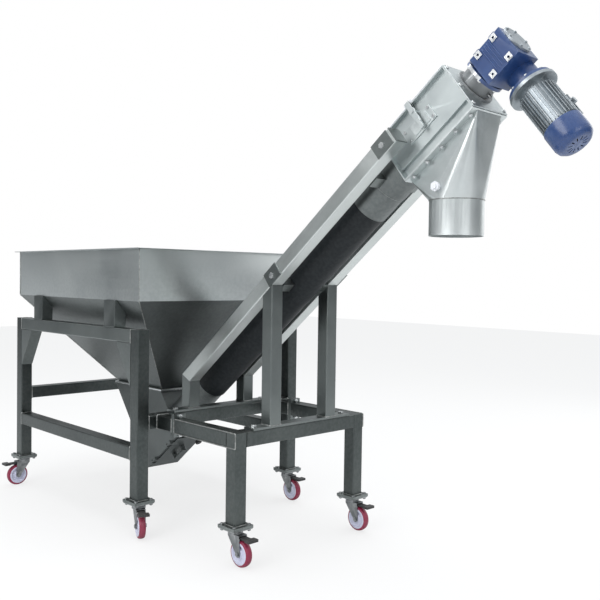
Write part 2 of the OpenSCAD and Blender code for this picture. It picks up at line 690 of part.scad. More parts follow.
module steel_tubes() {
    color(STEEL) on_conveyor() {
        translate([0, 0, trough_front - trough_t])
            ring(lower_tube_d / 2, lower_tube_d / 2 - tube_sheet, casing_start + casing_lap - trough_front + trough_t);
        difference() {
            union() {
                translate([0, 0, casing_end]) cylinder(d = upper_tube_d, h = head_start - casing_end);
                translate([0, 0, collar_start]) cylinder(r = tube_collar_r, h = head_start - collar_start);
            }
            translate([0, 0, casing_end - eps])
                cylinder(d = upper_tube_d - 2 * tube_sheet, h = head_start - casing_end + 2 * eps);
        }
    }
}
module casing_tube() {
    color(BLACK) on_conveyor() translate([0, 0, casing_start])
        ring(casing_d / 2, lower_tube_d / 2 + gap, casing_end + casing_lap - casing_start);
}
screw_start = trough_tail + trough_t + 4;
screw_end = head_end - 4;
shaft_top = gear_s + gear_body_l / 2 - 6;
module screw_shaft() {
    color(DARK_STEEL) on_conveyor() {
        translate([0, 0, screw_start]) cylinder(d = shaft_d, h = screw_end - screw_start);
        translate([0, 0, trough_tail - bearing_l + 8]) cylinder(r = journal_r, h = shaft_top - trough_tail + bearing_l - 8);
    }
}
flight_end = 1600;
module screw_flight() {
    flight_l = flight_end - screw_start;
    spread = 360 * flight_t / flight_pitch;
    blade = concat([for (a = [0, spread]) shaft_d / 2 * [cos(a), sin(a)]],
                   [for (a = [spread, spread / 2, 0]) flight_d / 2 * [cos(a), sin(a)]]);
    color(STEEL) on_conveyor() translate([0, 0, screw_start])
        linear_extrude(flight_l, twist = -360 * flight_l / flight_pitch, slices = ceil(20 * flight_l / flight_pitch),
                       segments = len(blade), $fn = 3)
            polygon(blade);
}

// ---- Discharge head ----

throat_n = -60;
throat_half = head_half_w - 13;
cover_t = 3;
cover_n = head_top + gap;
cover_hinge_x = head_flange_half + 8;
latch_s = 1553;
latch_n = 56;
cover_hinge_n = cover_n + cover_t / 2;
cover_hinge_s = [head_start + 80, head_end - 60];
cover_lug_w = 14;
cover_lug_reach = 8 + head_t;
// Radius and length the cover leaves free round each pair of lugs
lug_swing = norm([cover_lug_reach, cover_lug_w / 2]) + gap;
notch_l = knuckle_l + 2 * (lug_t + 2 * gap);
latch_x = head_flange_half + 5;
latch_t = 5;
stud_r = 4;
plate_l = 142;
plate_h = 60;
plate_s = 1537;
plate_n = 12;
head_bolt_d = 8;
spout_bolt_count = 5;
spout_bolt_x = (throat_half + head_flange_half) / 2;
function spout_bolt_s(i) = head_start + 30 + i * (head_end - head_start - 60) / (spout_bolt_count - 1);
module spout_bolt_holes() {
    for (i = [0:spout_bolt_count - 1], side = [-1, 1])
        translate([side * spout_bolt_x, -head_bottom + 2 * head_t, spout_bolt_s(i)]) rotate([90, 0, 0])
            cylinder(d = head_bolt_d + 2 * bolt_play, h = 6 * head_t);
}
module head_box() {
    l = head_end - head_start;
    color(STEEL) on_conveyor() {
        difference() {
            union() {
                translate([-head_half_w, throat_n, head_start]) cube([2 * head_half_w, head_top - throat_n, l]);
                translate([-throat_half, -head_bottom, head_start]) cube([2 * throat_half, head_bottom, l]);
                translate([-head_flange_half, -head_bottom, head_start]) cube([2 * head_flange_half, head_t, l]);
                translate([-head_flange_half, head_top - head_t, head_start]) cube([2 * head_flange_half, head_t, l]);
                for (s = [head_start, head_end - head_t]) translate([-head_flange_half, -head_bottom, s])
                    cube([2 * head_flange_half, head_bottom + head_top, head_t]);
            }
            translate([-head_half_w + head_t, throat_n + head_t, head_start + head_t])
                cube([2 * (head_half_w - head_t), head_top - throat_n, l - 2 * head_t]);
            translate([-throat_half + head_t, -head_bottom - eps, head_start + head_t])
                cube([2 * (throat_half - head_t), head_bottom, l - 2 * head_t]);
            translate([0, 0, head_start - eps]) cylinder(d = upper_tube_d - 2 * tube_sheet, h = head_t + 2 * eps);
            translate([0, 0, head_end - 2 * head_t]) cylinder(r = journal_r + 8, h = 3 * head_t);
            spout_bolt_holes();
        }
        for (s = cover_hinge_s) translate([cover_hinge_x, cover_hinge_n, s])
            mirror([1, 0, 0]) hinge_lugs(cover_lug_reach, cover_lug_w);
        translate([-head_half_w, latch_n, latch_s]) rotate([0, -90, 0]) {
            cylinder(r = 9, h = latch_x - head_half_w - gap);
            cylinder(r = stud_r, h = latch_x - head_half_w + latch_t + gap);
            translate([0, 0, latch_x - head_half_w + latch_t + gap]) cylinder(r = 7, h = 3);
        }
    }
}
module head_cover() {
    l = head_end - head_start;
    color(STEEL) on_conveyor() {
        difference() {
            translate([-head_flange_half, cover_n, head_start]) cube([2 * head_flange_half, cover_t, l]);
            for (s = cover_hinge_s) translate([cover_hinge_x - lug_swing, cover_n - eps, s - notch_l / 2])
                cube([lug_swing, cover_t + 2 * eps, notch_l]);
        }
        for (s = cover_hinge_s) translate([cover_hinge_x, cover_hinge_n, s])
            mirror([1, 0, 0]) knuckle(lug_swing + 6, cover_t);
        translate([-head_flange_half, cover_n, latch_s - 20]) cube([18, 12, 40]);
    }
}
module cover_latch() {
    reach = cover_hinge_n - latch_n;
    color(BLACK) on_conveyor() translate([-latch_x - latch_t, latch_n, latch_s]) rotate([90, 0, 90]) difference() {
        union() {
            translate([-52, -11, 0]) cube([52 + reach + 8, 22, latch_t]);
            cylinder(r = 14, h = latch_t);
            translate([-78, -8, -3]) cube([40, 16, latch_t + 6]);
        }
        translate([0, 0, -eps]) cylinder(r = stud_r + pin_play, h = latch_t + 2 * eps);
    }
}
module inspection_plate() {
    color(STEEL) on_conveyor() translate([-head_half_w, plate_n, plate_s]) rotate([0, -90, 0]) {
        translate([-plate_l / 2, -plate_h / 2, 0]) cube([plate_l, plate_h, 5]);
        translate([-plate_l / 2 + 36, -plate_h / 2 + 8, 5]) cube([plate_l - 60, plate_h - 16, 3]);
    }
}
module head_end_plate() {
    color(STEEL) on_conveyor() translate([-head_flange_half, -head_bottom, head_end]) difference() {
        cube([2 * head_flange_half, head_bottom + head_top, lantern_start - head_end]);
        translate([head_flange_half, head_bottom, -eps]) cylinder(r = journal_r + gap, h = 3 * head_t);
    }
}
spout_flange_n = -head_bottom - head_t;
spout_sheet = 3;
collar_y = conv_y((head_start + head_end) / 2, spout_flange_n) - 8;
sensor_r = 18;
sensor_z = collar_z + collar_h + 42;
// Solid between the slanted flange opening and the round collar, less an inset all round
module spout_body(inset) {
    long = head_end - head_start - 2 * (head_t + inset);
    hull() {
        on_conveyor() translate([inset - throat_half, spout_flange_n + 1 - inset / 10, head_start + head_t + inset])
            cube([2 * (throat_half - inset), inset + 1, long]);
        on_floor() translate([0, collar_y, collar_z + collar_h - inset / 3])
            cylinder(r = collar_d / 2 + 1 - 2 * inset, h = 0.1, $fn = 48);
    }
}
module discharge_spout() {
    color(STEEL) {
        difference() {
            union() {
                spout_body(0);
                on_floor() translate([0, collar_y, collar_z]) cylinder(d = collar_d, h = collar_h);
            }
            spout_body(spout_sheet);
            on_floor() translate([0, collar_y, collar_z - eps]) {
                cylinder(d = collar_d - 2 * spout_sheet, h = collar_h - 3 + eps);
                cylinder(d = collar_d - 4 * spout_sheet, h = collar_h + eps / 2);
            }
            level_sensor_place() translate([0, 0, -20]) cylinder(r = sensor_r - 4, h = 80);
        }
        on_conveyor() difference() {
            translate([-head_flange_half, spout_flange_n, head_start])
                cube([2 * head_flange_half, head_t, head_end - head_start]);
            translate([-throat_half + head_t, spout_flange_n - eps, head_start + 2 * head_t])
                cube([2 * (throat_half - head_t), head_t + 2 * eps, head_end - head_start - 4 * head_t]);
            spout_bolt_holes();
        }
    }
}
module level_sensor_place() {
    on_floor() translate([-collar_d / 2 + 6, collar_y + 18, sensor_z]) rotate([0, -90, 0]) children();
}
module level_sensor() {
    color(WHITE) level_sensor_place() {
        cylinder(r = sensor_r - 4.2, h = 14);
        translate([0, 0, 9]) cylinder(r = sensor_r, h = 8, $fn = 6);
        translate([0, 0, 16]) cylinder(r = 10, h = 8);
    }
}
module head_bolts() {
    color(DARK_STEEL) on_conveyor() {
        for (i = [0:spout_bolt_count - 1], side = [-1, 1])
            translate([side * spout_bolt_x, -head_bottom + head_t, spout_bolt_s(i)]) rotate([-90, 0, 0])
                bolt(head_bolt_d, 2 * head_t);
        for (x = [-1, 1], n = [-head_bottom + 14, -10, head_top - 14])
            translate([x * (head_flange_half - 10), n, lantern_start]) cylinder(r = 7, h = 5, $fn = 6);
        for (s = [-1, 1], n = [-1, 1])
            translate([-head_half_w - 5, plate_n + n * (plate_h / 2 - 9), plate_s + s * (plate_l / 2 - 10)])
                rotate([0, -90, 0]) cylinder(r = 6.5, h = 5, $fn = 6);
    }
}

// ---- Gearmotor ----

lantern_r = 61;
module drive_lantern() {
    l = lantern_end - lantern_start;
    color(DARK_STEEL) on_conveyor() translate([0, 0, lantern_start]) {
        difference() {
            union() {
                cylinder(r = lantern_r, h = l);
                cylinder(r = lantern_r + 12, h = 8);
            }
            translate([0, 0, -eps]) cylinder(r = lantern_r - 12, h = l + 2 * eps);
        }
        translate([0, -lantern_r + 2, l / 2]) rotate([90, 0, 0]) cylinder(r = 6, h = 16);
    }
}
gear_low_n = -72;
gear_high_n = 48;
pad_n = (gear_low_n + gear_high_n) / 2;
pad_t = 4;
pad_size = 24;
worm_bore_r = 13;
wheel_cavity_r = 42;
gear_cover_t = 8;
module gearbox_housing() {
    half_w = gear_body_w / 2;
    color(BLUE) difference() {
        union() {
            on_conveyor() {
                translate([0, 0, lantern_end]) cylinder(d = output_flange_d, h = output_flange_t);
                translate([0, 0, lantern_end]) cylinder(d = output_flange_d - 36, h = gear_front - lantern_end + eps);
                translate([-half_w, gear_low_n, gear_front]) cube([gear_body_w, gear_high_n - gear_low_n, gear_body_l]);
                for (s = [-1, 1], n = [-1, 1])
                    translate([-half_w - pad_t, pad_n + n * pad_pitch_n / 2 - pad_size / 2,
                               gear_s + s * pad_pitch_s / 2 - pad_size / 2])
                        cube([pad_t + eps, pad_size, pad_size]);
                for (s = [-1, 1], x = [-1, 1])
                    translate([x * (half_w - pad_size / 2) - pad_size / 2, gear_high_n - eps,
                               gear_s + s * pad_pitch_s / 2 - pad_size / 2])
                        cube([pad_size, pad_t + eps, pad_size]);
            }
            on_motor() {
                translate([0, 0, -gear_high_n + 6]) cylinder(r = 52, h = motor_drop + gear_high_n - 6);
                translate([0, 0, motor_drop - 14]) cylinder(d = input_flange_d, h = 14);
            }
        }
        on_conveyor() {
            translate([0, 0, lantern_end - eps]) cylinder(r = journal_r + pin_play, h = gear_body_l);
            translate([0, 0, gear_s - 20]) cylinder(r = wheel_cavity_r, h = gear_body_l);
            for (s = [-1, 1], n = [-1, 1])
                translate([-half_w - pad_t - eps, pad_n + n * pad_pitch_n / 2, gear_s + s * pad_pitch_s / 2])
                    rotate([0, 90, 0]) cylinder(r = pad_hole_r, h = 14 + eps);
        }
        on_motor() translate([0, 0, -30]) cylinder(r = worm_bore_r, h = motor_drop + 30 + eps);
    }
}
module gearbox_cover() {
    color(ALUMINIUM) on_conveyor() translate([0, pad_n + 12, gear_front + gear_body_l]) {
        cylinder(r = 56, h = gear_cover_t);
        for (turn = [0:60:300]) rotate(turn) translate([48, 0, gear_cover_t]) cylinder(r = 5, h = 4, $fn = 6);
    }
}
fin_count = 30;
rotor_cavity_r = 40;
motor_bearing_r = 17;
module motor_frame() {
    color(ALUMINIUM) on_motor() difference() {
        union() {
            translate([0, 0, motor_drop]) cylinder(d = motor_flange_d, h = motor_flange_t);
            translate([0, 0, motor_body_start - eps]) cylinder(d = motor_body_d, h = motor_body_l + eps);
            for (i = [0:fin_count - 1]) rotate(i * 360 / fin_count)
                translate([motor_body_d / 2 - eps, -1.25, motor_body_start + 18]) cube([fin_h + eps, 2.5, motor_body_l - 24]);
        }
        translate([0, 0, motor_drop - eps]) cylinder(r = motor_bearing_r, h = motor_body_l + 2 * motor_flange_t);
        translate([0, 0, motor_body_start + 10]) cylinder(r = rotor_cavity_r, h = motor_body_l - 20);
    }
}
module motor_rotor() {
    color(DARK_STEEL) on_motor() {
        translate([0, 0, -28]) cylinder(r = worm_bore_r - gap, h = motor_drop - 12);
        translate([0, 0, motor_drop - 42]) cylinder(r = 10, h = motor_body_end + 44 - motor_drop + 42);
        translate([0, 0, motor_body_start + 24]) cylinder(r = rotor_cavity_r - 2, h = motor_body_l - 48);
    }
}
fan_blades = 8;
module cooling_fan() {
    color(BLACK) on_motor() translate([0, 0, motor_body_end + 10]) difference() {
        union() {
            cylinder(r = 18, h = 26);
            cylinder(r = motor_body_d / 2 - 6, h = 3);
            for (i = [0:fan_blades - 1]) rotate(i * 360 / fan_blades)
                translate([14, -1.5, 0]) cube([motor_body_d / 2 - 20, 3, 24]);
        }
        translate([0, 0, -eps]) cylinder(r = 10, h = 28);
    }
}
module fan_cover() {
    r = fan_cover_d / 2;
    skin = 2;
    color(BLUE) on_motor() translate([0, 0, motor_body_end]) difference() {
        rotate_extrude() difference() {
            polygon([[0, 0], [r, 0], [r, fan_cover_l - 26], [r - 4, fan_cover_l - 12], [r - 14, fan_cover_l - 2],
                     [r - 20, fan_cover_l], [0, fan_cover_l]]);
            polygon([[0, -eps], [r - skin, -eps], [r - skin, fan_cover_l - 26 - skin], [r - 4 - skin, fan_cover_l - 12 - skin],
                     [r - 14 - skin, fan_cover_l - 2 - skin], [r - 20 - skin, fan_cover_l - skin], [0, fan_cover_l - skin]]);
        }
        for (i = [0:11]) rotate(i * 30) translate([20, -2, fan_cover_l - 2 * skin]) cube([18, 4, 3 * skin]);
    }
}
module terminal_box() {
    color(ALUMINIUM) on_motor() translate([motor_body_d / 2 + fin_h, 0, motor_body_start + motor_body_l / 2]) {
        translate([0, -42, -42]) cube([40, 84, 84]);
        translate([40, -45, -45]) cube([8, 90, 90]);
        translate([20, 42, 0]) rotate([-90, 0, 0]) cylinder(r = 11, h = 18);
    }
}

legs();
foot_plates();
caster_plates();
caster_bolts();
top_beams();
corner_gussets();
lower_rails();
cart_beams();
joint_flanges();
foot_bars();
conveyor_posts();
conveyor_rails();
rail_plates();
frame_bolts();
hopper_feet();
hopper_end_panels();
hopper_side_panels();
outlet_flange();
trough();
tail_bearing();
cleanout_door();
door_knob();
steel_tubes();
casing_tube();
head_box();
head_cover();
cover_latch();
inspection_plate();
head_end_plate();
discharge_spout();
head_bolts();
level_sensor();
drive_lantern();
gearbox_housing();
gearbox_cover();
motor_frame();
fan_cover();
terminal_box();
screw_shaft();
screw_flight();
motor_rotor();
cooling_fan();
fork(0);  // fork_cart_left
fork(1);  // fork_cart_right
fork(2);  // fork_hopper_front_left
fork(3);  // fork_hopper_front_right
fork(4);  // fork_hopper_rear_left
fork(5);  // fork_hopper_rear_right
wheel(0);  // wheel_cart_left
wheel(1);  // wheel_cart_right
wheel(2);  // wheel_hopper_front_left
wheel(3);  // wheel_hopper_front_right
wheel(4);  // wheel_hopper_rear_left
wheel(5);  // wheel_hopper_rear_right
pedal(0);  // pedal_cart_left
pedal(1);  // pedal_cart_right
pedal(2);  // pedal_hopper_front_left
pedal(3);  // pedal_hopper_front_right
pedal(4);  // pedal_hopper_rear_left
pedal(5);  // pedal_hopper_rear_right
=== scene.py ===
"""Looks of a mobile grain auger: stainless frames, hopper, screw tube, head, gearmotor and casters.

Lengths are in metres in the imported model's frame: X across the machine, Y along it, Z up. The screw climbs
towards -Y. Sizes that a CAD node already has are read from its box or from a copy of its mesh.
"""

from __future__ import annotations

import sys

import json
import logging
import math
from dataclasses import dataclass, field
from enum import Enum
from typing import Any, Callable, Sequence

import bmesh
import bpy
import numpy as np
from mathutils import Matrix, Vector

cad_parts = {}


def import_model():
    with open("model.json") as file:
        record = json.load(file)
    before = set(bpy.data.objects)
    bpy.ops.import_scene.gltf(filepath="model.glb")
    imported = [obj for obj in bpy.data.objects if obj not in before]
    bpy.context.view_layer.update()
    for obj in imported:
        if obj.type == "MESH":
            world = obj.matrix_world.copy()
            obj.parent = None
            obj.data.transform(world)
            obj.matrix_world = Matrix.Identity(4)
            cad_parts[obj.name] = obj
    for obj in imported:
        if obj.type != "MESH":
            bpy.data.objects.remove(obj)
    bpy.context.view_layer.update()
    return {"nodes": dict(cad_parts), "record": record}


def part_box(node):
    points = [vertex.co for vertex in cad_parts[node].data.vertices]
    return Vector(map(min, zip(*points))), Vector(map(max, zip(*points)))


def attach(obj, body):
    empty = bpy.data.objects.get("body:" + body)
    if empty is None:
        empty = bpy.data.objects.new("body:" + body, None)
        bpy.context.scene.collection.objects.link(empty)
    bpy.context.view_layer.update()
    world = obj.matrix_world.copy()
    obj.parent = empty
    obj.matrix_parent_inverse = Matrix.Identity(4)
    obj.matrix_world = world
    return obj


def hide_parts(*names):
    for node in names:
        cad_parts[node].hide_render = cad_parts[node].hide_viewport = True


LOG = logging.getLogger("grain_auger")
MILLIMETRE = 0.001
MERGE_DISTANCE = 1e-5
# Edges sharper than this many degrees are eased, and shaded as sharp
EASED_ANGLE = 30
# An outward edge longer than this is a rolled tube's corner
LONG_EDGE = 0.09
# The step between rings of a weld that goes round a tube
RING_STEP = 0.0026
BUMP_DISTANCE = 0.0006
SITES = ("cart_left", "cart_right", "hopper_front_left", "hopper_front_right", "hopper_rear_left",
         "hopper_rear_right")


# ---- Places ----


@dataclass(frozen=True)
class Place:
    """A local set of axes: an origin and three unit directions, one per row."""

    origin: np.ndarray
    axes: np.ndarray

    def put(self, points: np.ndarray) -> np.ndarray:
        """Local points, as rows of x, y, z, in the model's frame."""
        return self.origin + np.asarray(points, float) @ self.axes

    def local(self, points: np.ndarray) -> np.ndarray:
        """Points of the model's frame in these axes."""
        return (np.asarray(points, float) - self.origin) @ self.axes.T

    def shifted(self, offset: Sequence[float]) -> "Place":
        """The same axes with the origin moved by a local offset."""
        return Place(self.put(np.array(offset, float)), self.axes)

    def flipped(self) -> "Place":
        """The same origin and first direction with the other two turned over."""
        return Place(self.origin, self.axes * [[1], [-1], [-1]])


def place_along(origin: Sequence[float], axis: Sequence[float], side: Sequence[float] = (1, 0, 0)) -> Place:
    """Axes whose third direction is the given axis and whose first is the side made square to it.

    Args:
        origin: The origin in the model's frame.
        axis: The third direction.
        side: A rough first direction.

    Returns:
        The right-handed axes.
    """
    third = np.array(axis, float) / np.linalg.norm(axis)
    first = np.array(side, float) - third * np.dot(side, third)
    first /= np.linalg.norm(first)
    return Place(np.array(origin, float), np.array([first, np.cross(third, first), third]))


# ---- Surfaces ----

# Points of shape (rows, columns, 3), and whether the rows and the columns wrap
Grid = tuple[np.ndarray, bool, bool]


def mesh_points(mesh: bpy.types.Mesh) -> np.ndarray:
    """A mesh's vertices as rows of x, y, z."""
    points = np.empty(len(mesh.vertices) * 3)
    mesh.vertices.foreach_get("co", points)
    return points.reshape(-1, 3)


def circle(radius: float, level: float, count: int) -> np.ndarray:
    """Points (r cos a, r sin a, level) for each of an even count of angles a."""
    angle = np.linspace(0, 2 * math.pi, count, endpoint=False)
    return np.stack([radius * np.cos(angle), radius * np.sin(angle), np.full_like(angle, level)], axis=1)


def grid_faces(rows: int, columns: int, wrap_rows: bool, wrap_columns: bool) -> np.ndarray:
    """Quads of a grid of points, where point (i, j) has number i * columns + j.

    Args:
        rows: How many rows of points there are.
        columns: How many points a row has.
        wrap_rows: Whether the last row joins the first.
        wrap_columns: Whether each row's last point joins its first.

    Returns:
        Four point numbers for each face.
    """
    i = np.arange(rows if wrap_rows else rows - 1)[:, None]
    j = np.arange(columns if wrap_columns else columns - 1)[None, :]
    i_next = (i + 1) % rows
    j_next = (j + 1) % columns
    corners = [i * columns + j, i_next * columns + j, i_next * columns + j_next, i * columns + j_next]
    return np.stack([np.broadcast_to(c, (i.size, j.size)).ravel() for c in corners], axis=1)


def grid_mesh(name: str, grids: Sequence[Grid], smooth_angle: float = 35) -> bpy.types.Mesh:
    """A mesh of one or more grids of points, with doubled points merged and faces turned outwards.

    Args:
        name: The mesh's name.
        grids: Each grid's points of shape (rows, columns, 3), and whether its rows and its columns wrap.
        smooth_angle: Edges sharper than this many degrees stay sharp.

    Returns:
        The finished mesh.
    """
    points, faces, first = [], [], 0
    for grid, wrap_rows, wrap_columns in grids:
        points.append(grid.reshape(-1, 3))
        faces.append(grid_faces(grid.shape[0], grid.shape[1], wrap_rows, wrap_columns) + first)
        first += grid.shape[0] * grid.shape[1]
    mesh = bpy.data.meshes.new(name)
    mesh.from_pydata(np.concatenate(points).tolist(), [], np.concatenate(faces).tolist())
    shape = bmesh.new()
    shape.from_mesh(mesh)
    bmesh.ops.remove_doubles(shape, verts=shape.verts, dist=MERGE_DISTANCE)
    bmesh.ops.dissolve_degenerate(shape, edges=shape.edges, dist=MERGE_DISTANCE)
    bmesh.ops.recalc_face_normals(shape, faces=shape.faces)
    shape.to_mesh(mesh)
    shape.free()
    mesh.shade_smooth()
    mesh.set_sharp_from_angle(angle=math.radians(smooth_angle))
    return mesh


def lathe(profile: Sequence[tuple[float, float]], place: Place, segments: int = 64) -> np.ndarray:
    """A profile turned round the third axis: (r cos a, r sin a, h) for each angle a.

    Args:
        profile: Points of radius r and height h.
        place: The axes it is turned in.
        segments: How many angles there are.

    Returns:
        Points of shape (segments, profile points, 3).
    """
    radius, height = np.array(profile, float).T
    angle = np.linspace(0, 2 * math.pi, segments, endpoint=False)[:, None]
    heights = np.broadcast_to(height, (segments, len(height)))
    return place.put(np.stack([radius * np.cos(angle), radius * np.sin(angle), heights], axis=2))


def eased(profile: Sequence[tuple[float, float]], radius: float, steps: int = 3) -> list[tuple[float, float]]:
    """A profile with each inner corner replaced by a quadratic curve between two near points.

    Args:
        profile: Points of radius and height, open at both ends.
        radius: How far from a corner the curve starts, at most.
        steps: How many pieces each curve has.

    Returns:
        The rounded profile.
    """
    corners = [np.array(p, float) for p in profile]
    rounded = [corners[0]]
    for before, corner, after in zip(corners[:-2], corners[1:-1], corners[2:]):
        reach = min(radius, np.linalg.norm(before - corner) / 2.2, np.linalg.norm(after - corner) / 2.2)
        start = corner + (before - corner) / np.linalg.norm(before - corner) * reach
        end = corner + (after - corner) / np.linalg.norm(after - corner) * reach
        t = np.linspace(0, 1, steps + 1)[:, None]
        rounded.extend((1 - t) ** 2 * start + 2 * t * (1 - t) * corner + t ** 2 * end)
    rounded.append(corners[-1])
    return [tuple(p) for p in rounded]


def bead(path: np.ndarray, plane: Sequence[float], radius: float, closed: bool,
         ripple: float = 0.16) -> np.ndarray:
    """A weld bead: a round section carried along an even path, of radius r (1 + ripple cos(pi k)) at ring k.

    Args:
        path: Points along the weld.
        plane: A direction square to the path, which the section keeps.
        radius: The bead's radius.
        closed: Whether the path joins its own start.
        ripple: How far the radius swells, as a share of it.

    Returns:
        Points of shape (rings, sides, 3).
    """
    sides = 6
    tangent = np.roll(path, -1, axis=0) - np.roll(path, 1, axis=0)
    if not closed:
        tangent[0], tangent[-1] = path[1] - path[0], path[-1] - path[-2]
    tangent /= np.linalg.norm(tangent, axis=1)[:, None]
    up = np.array(plane, float) - tangent * (tangent @ np.array(plane, float))[:, None]
    up /= np.linalg.norm(up, axis=1)[:, None]
    out = np.cross(tangent, up)
    angle = np.linspace(0, 2 * math.pi, sides, endpoint=False)
    swell = radius * (1 + ripple * np.cos(np.arange(len(path)) * math.pi))
    if not closed:
        swell[[0, -1]] = MERGE_DISTANCE / 4
    section = np.cos(angle)[None, :, None] * up[:, None, :] + np.sin(angle)[None, :, None] * out[:, None, :]
    return path[:, None, :] + section * swell[:, None, None]


def line(start: Sequence[float], end: Sequence[float], step: float) -> np.ndarray:
    """Even points from start to end, about a step apart."""
    start, end = np.array(start, float), np.array(end, float)
    count = max(3, int(np.linalg.norm(end - start) / step))
    return start + (end - start) * np.linspace(0, 1, count)[:, None]


def rounded_square(half_x: float, half_y: float, corner: float, step: float) -> np.ndarray:
    """Even points round a rectangle with round corners, as rows of x, y, 0, an even number of them.

    Args:
        half_x: Half its first side.
        half_y: Half its second side.
        corner: A corner's radius.
        step: The rough distance between points.

    Returns:
        Points of shape (count, 3).
    """
    turn = np.linspace(0, math.pi / 2, 5)
    quarter = np.stack([np.cos(turn), np.sin(turn)], axis=1) * corner
    centres = np.array([[1, 1], [-1, 1], [-1, -1], [1, -1]]) * [half_x - corner, half_y - corner]
    spin = np.array([[[1, 0], [0, 1]], [[0, 1], [-1, 0]], [[-1, 0], [0, -1]], [[0, -1], [1, 0]]])
    loop = np.concatenate([c + quarter @ m for c, m in zip(centres, spin)])
    loop = np.concatenate([loop, loop[:1]])
    length = np.concatenate([[0], np.cumsum(np.linalg.norm(np.diff(loop, axis=0), axis=1))])
    count = 2 * int(length[-1] / step / 2)
    along = np.linspace(0, length[-1], count, endpoint=False)
    x, y = (np.interp(along, length, loop[:, side]) for side in (0, 1))
    return np.stack([x, y, 0 * along], axis=1)


# ---- Finishes ----


class Shader:
    """A node tree being built, with short calls for the nodes that the finishes use."""

    def __init__(self, tree: bpy.types.NodeTree) -> None:
        """Starts on an empty tree."""
        self.tree = tree
        self.column = 0

    def node(self, kind: str, inputs: dict[Any, Any] | None = None, **settings: Any) -> bpy.types.Node:
        """Adds a node.

        Args:
            kind: The node's type name without the ShaderNode prefix.
            inputs: Values or output sockets for the node's inputs, by name or number.
            settings: The node's own properties.

        Returns:
            The new node.
        """
        prefix = "" if kind.startswith("NodeGroup") else "ShaderNode"
        made = self.tree.nodes.new(prefix + kind)
        self.column += 1
        made.location = (self.column * 180, 0)
        for name, value in settings.items():
            setattr(made, name, value)
        for name, value in (inputs or {}).items():
            if isinstance(value, bpy.types.NodeSocket):
                self.tree.links.new(value, made.inputs[name])
            else:
                made.inputs[name].default_value = value
        return made

    def maths(self, operation: str, first: Any, second: Any = 0.0, third: Any = 0.0) -> bpy.types.NodeSocket:
        """The result of a maths node."""
        return self.node("Math", {0: first, 1: second, 2: third}, operation=operation).outputs[0]

    def ranged(self, value: Any, low: float, high: float, to_low: float,
               to_high: float) -> bpy.types.NodeSocket:
        """A value carried from one range to another, held at its ends."""
        limits = {0: value, 1: low, 2: high, 3: to_low, 4: to_high}
        return self.node("MapRange", limits, clamp=True).outputs[0]

    def mixed(self, amount: Any, first: Any, second: Any) -> bpy.types.NodeSocket:
        """Two colours mixed by an amount.

        Args:
            amount: The second colour's share.
            first: The first colour.
            second: The second colour.

        Returns:
            The mixed colour's socket.
        """
        mix = self.node("Mix", data_type="RGBA")
        for number, value in ((0, amount), (6, first), (7, second)):
            if isinstance(value, bpy.types.NodeSocket):
                self.tree.links.new(value, mix.inputs[number])
            else:
                mix.inputs[number].default_value = value
        return mix.outputs[2]


class Effect(Enum):
    """The shared effects, each a node group that is built once."""

    GRAIN = "ground grain"
    CLOUDS = "cloudy tone"
    WEAR_AND_HIGHLIGHT = "worn and highlit edges"
    DUST = "settled dust"


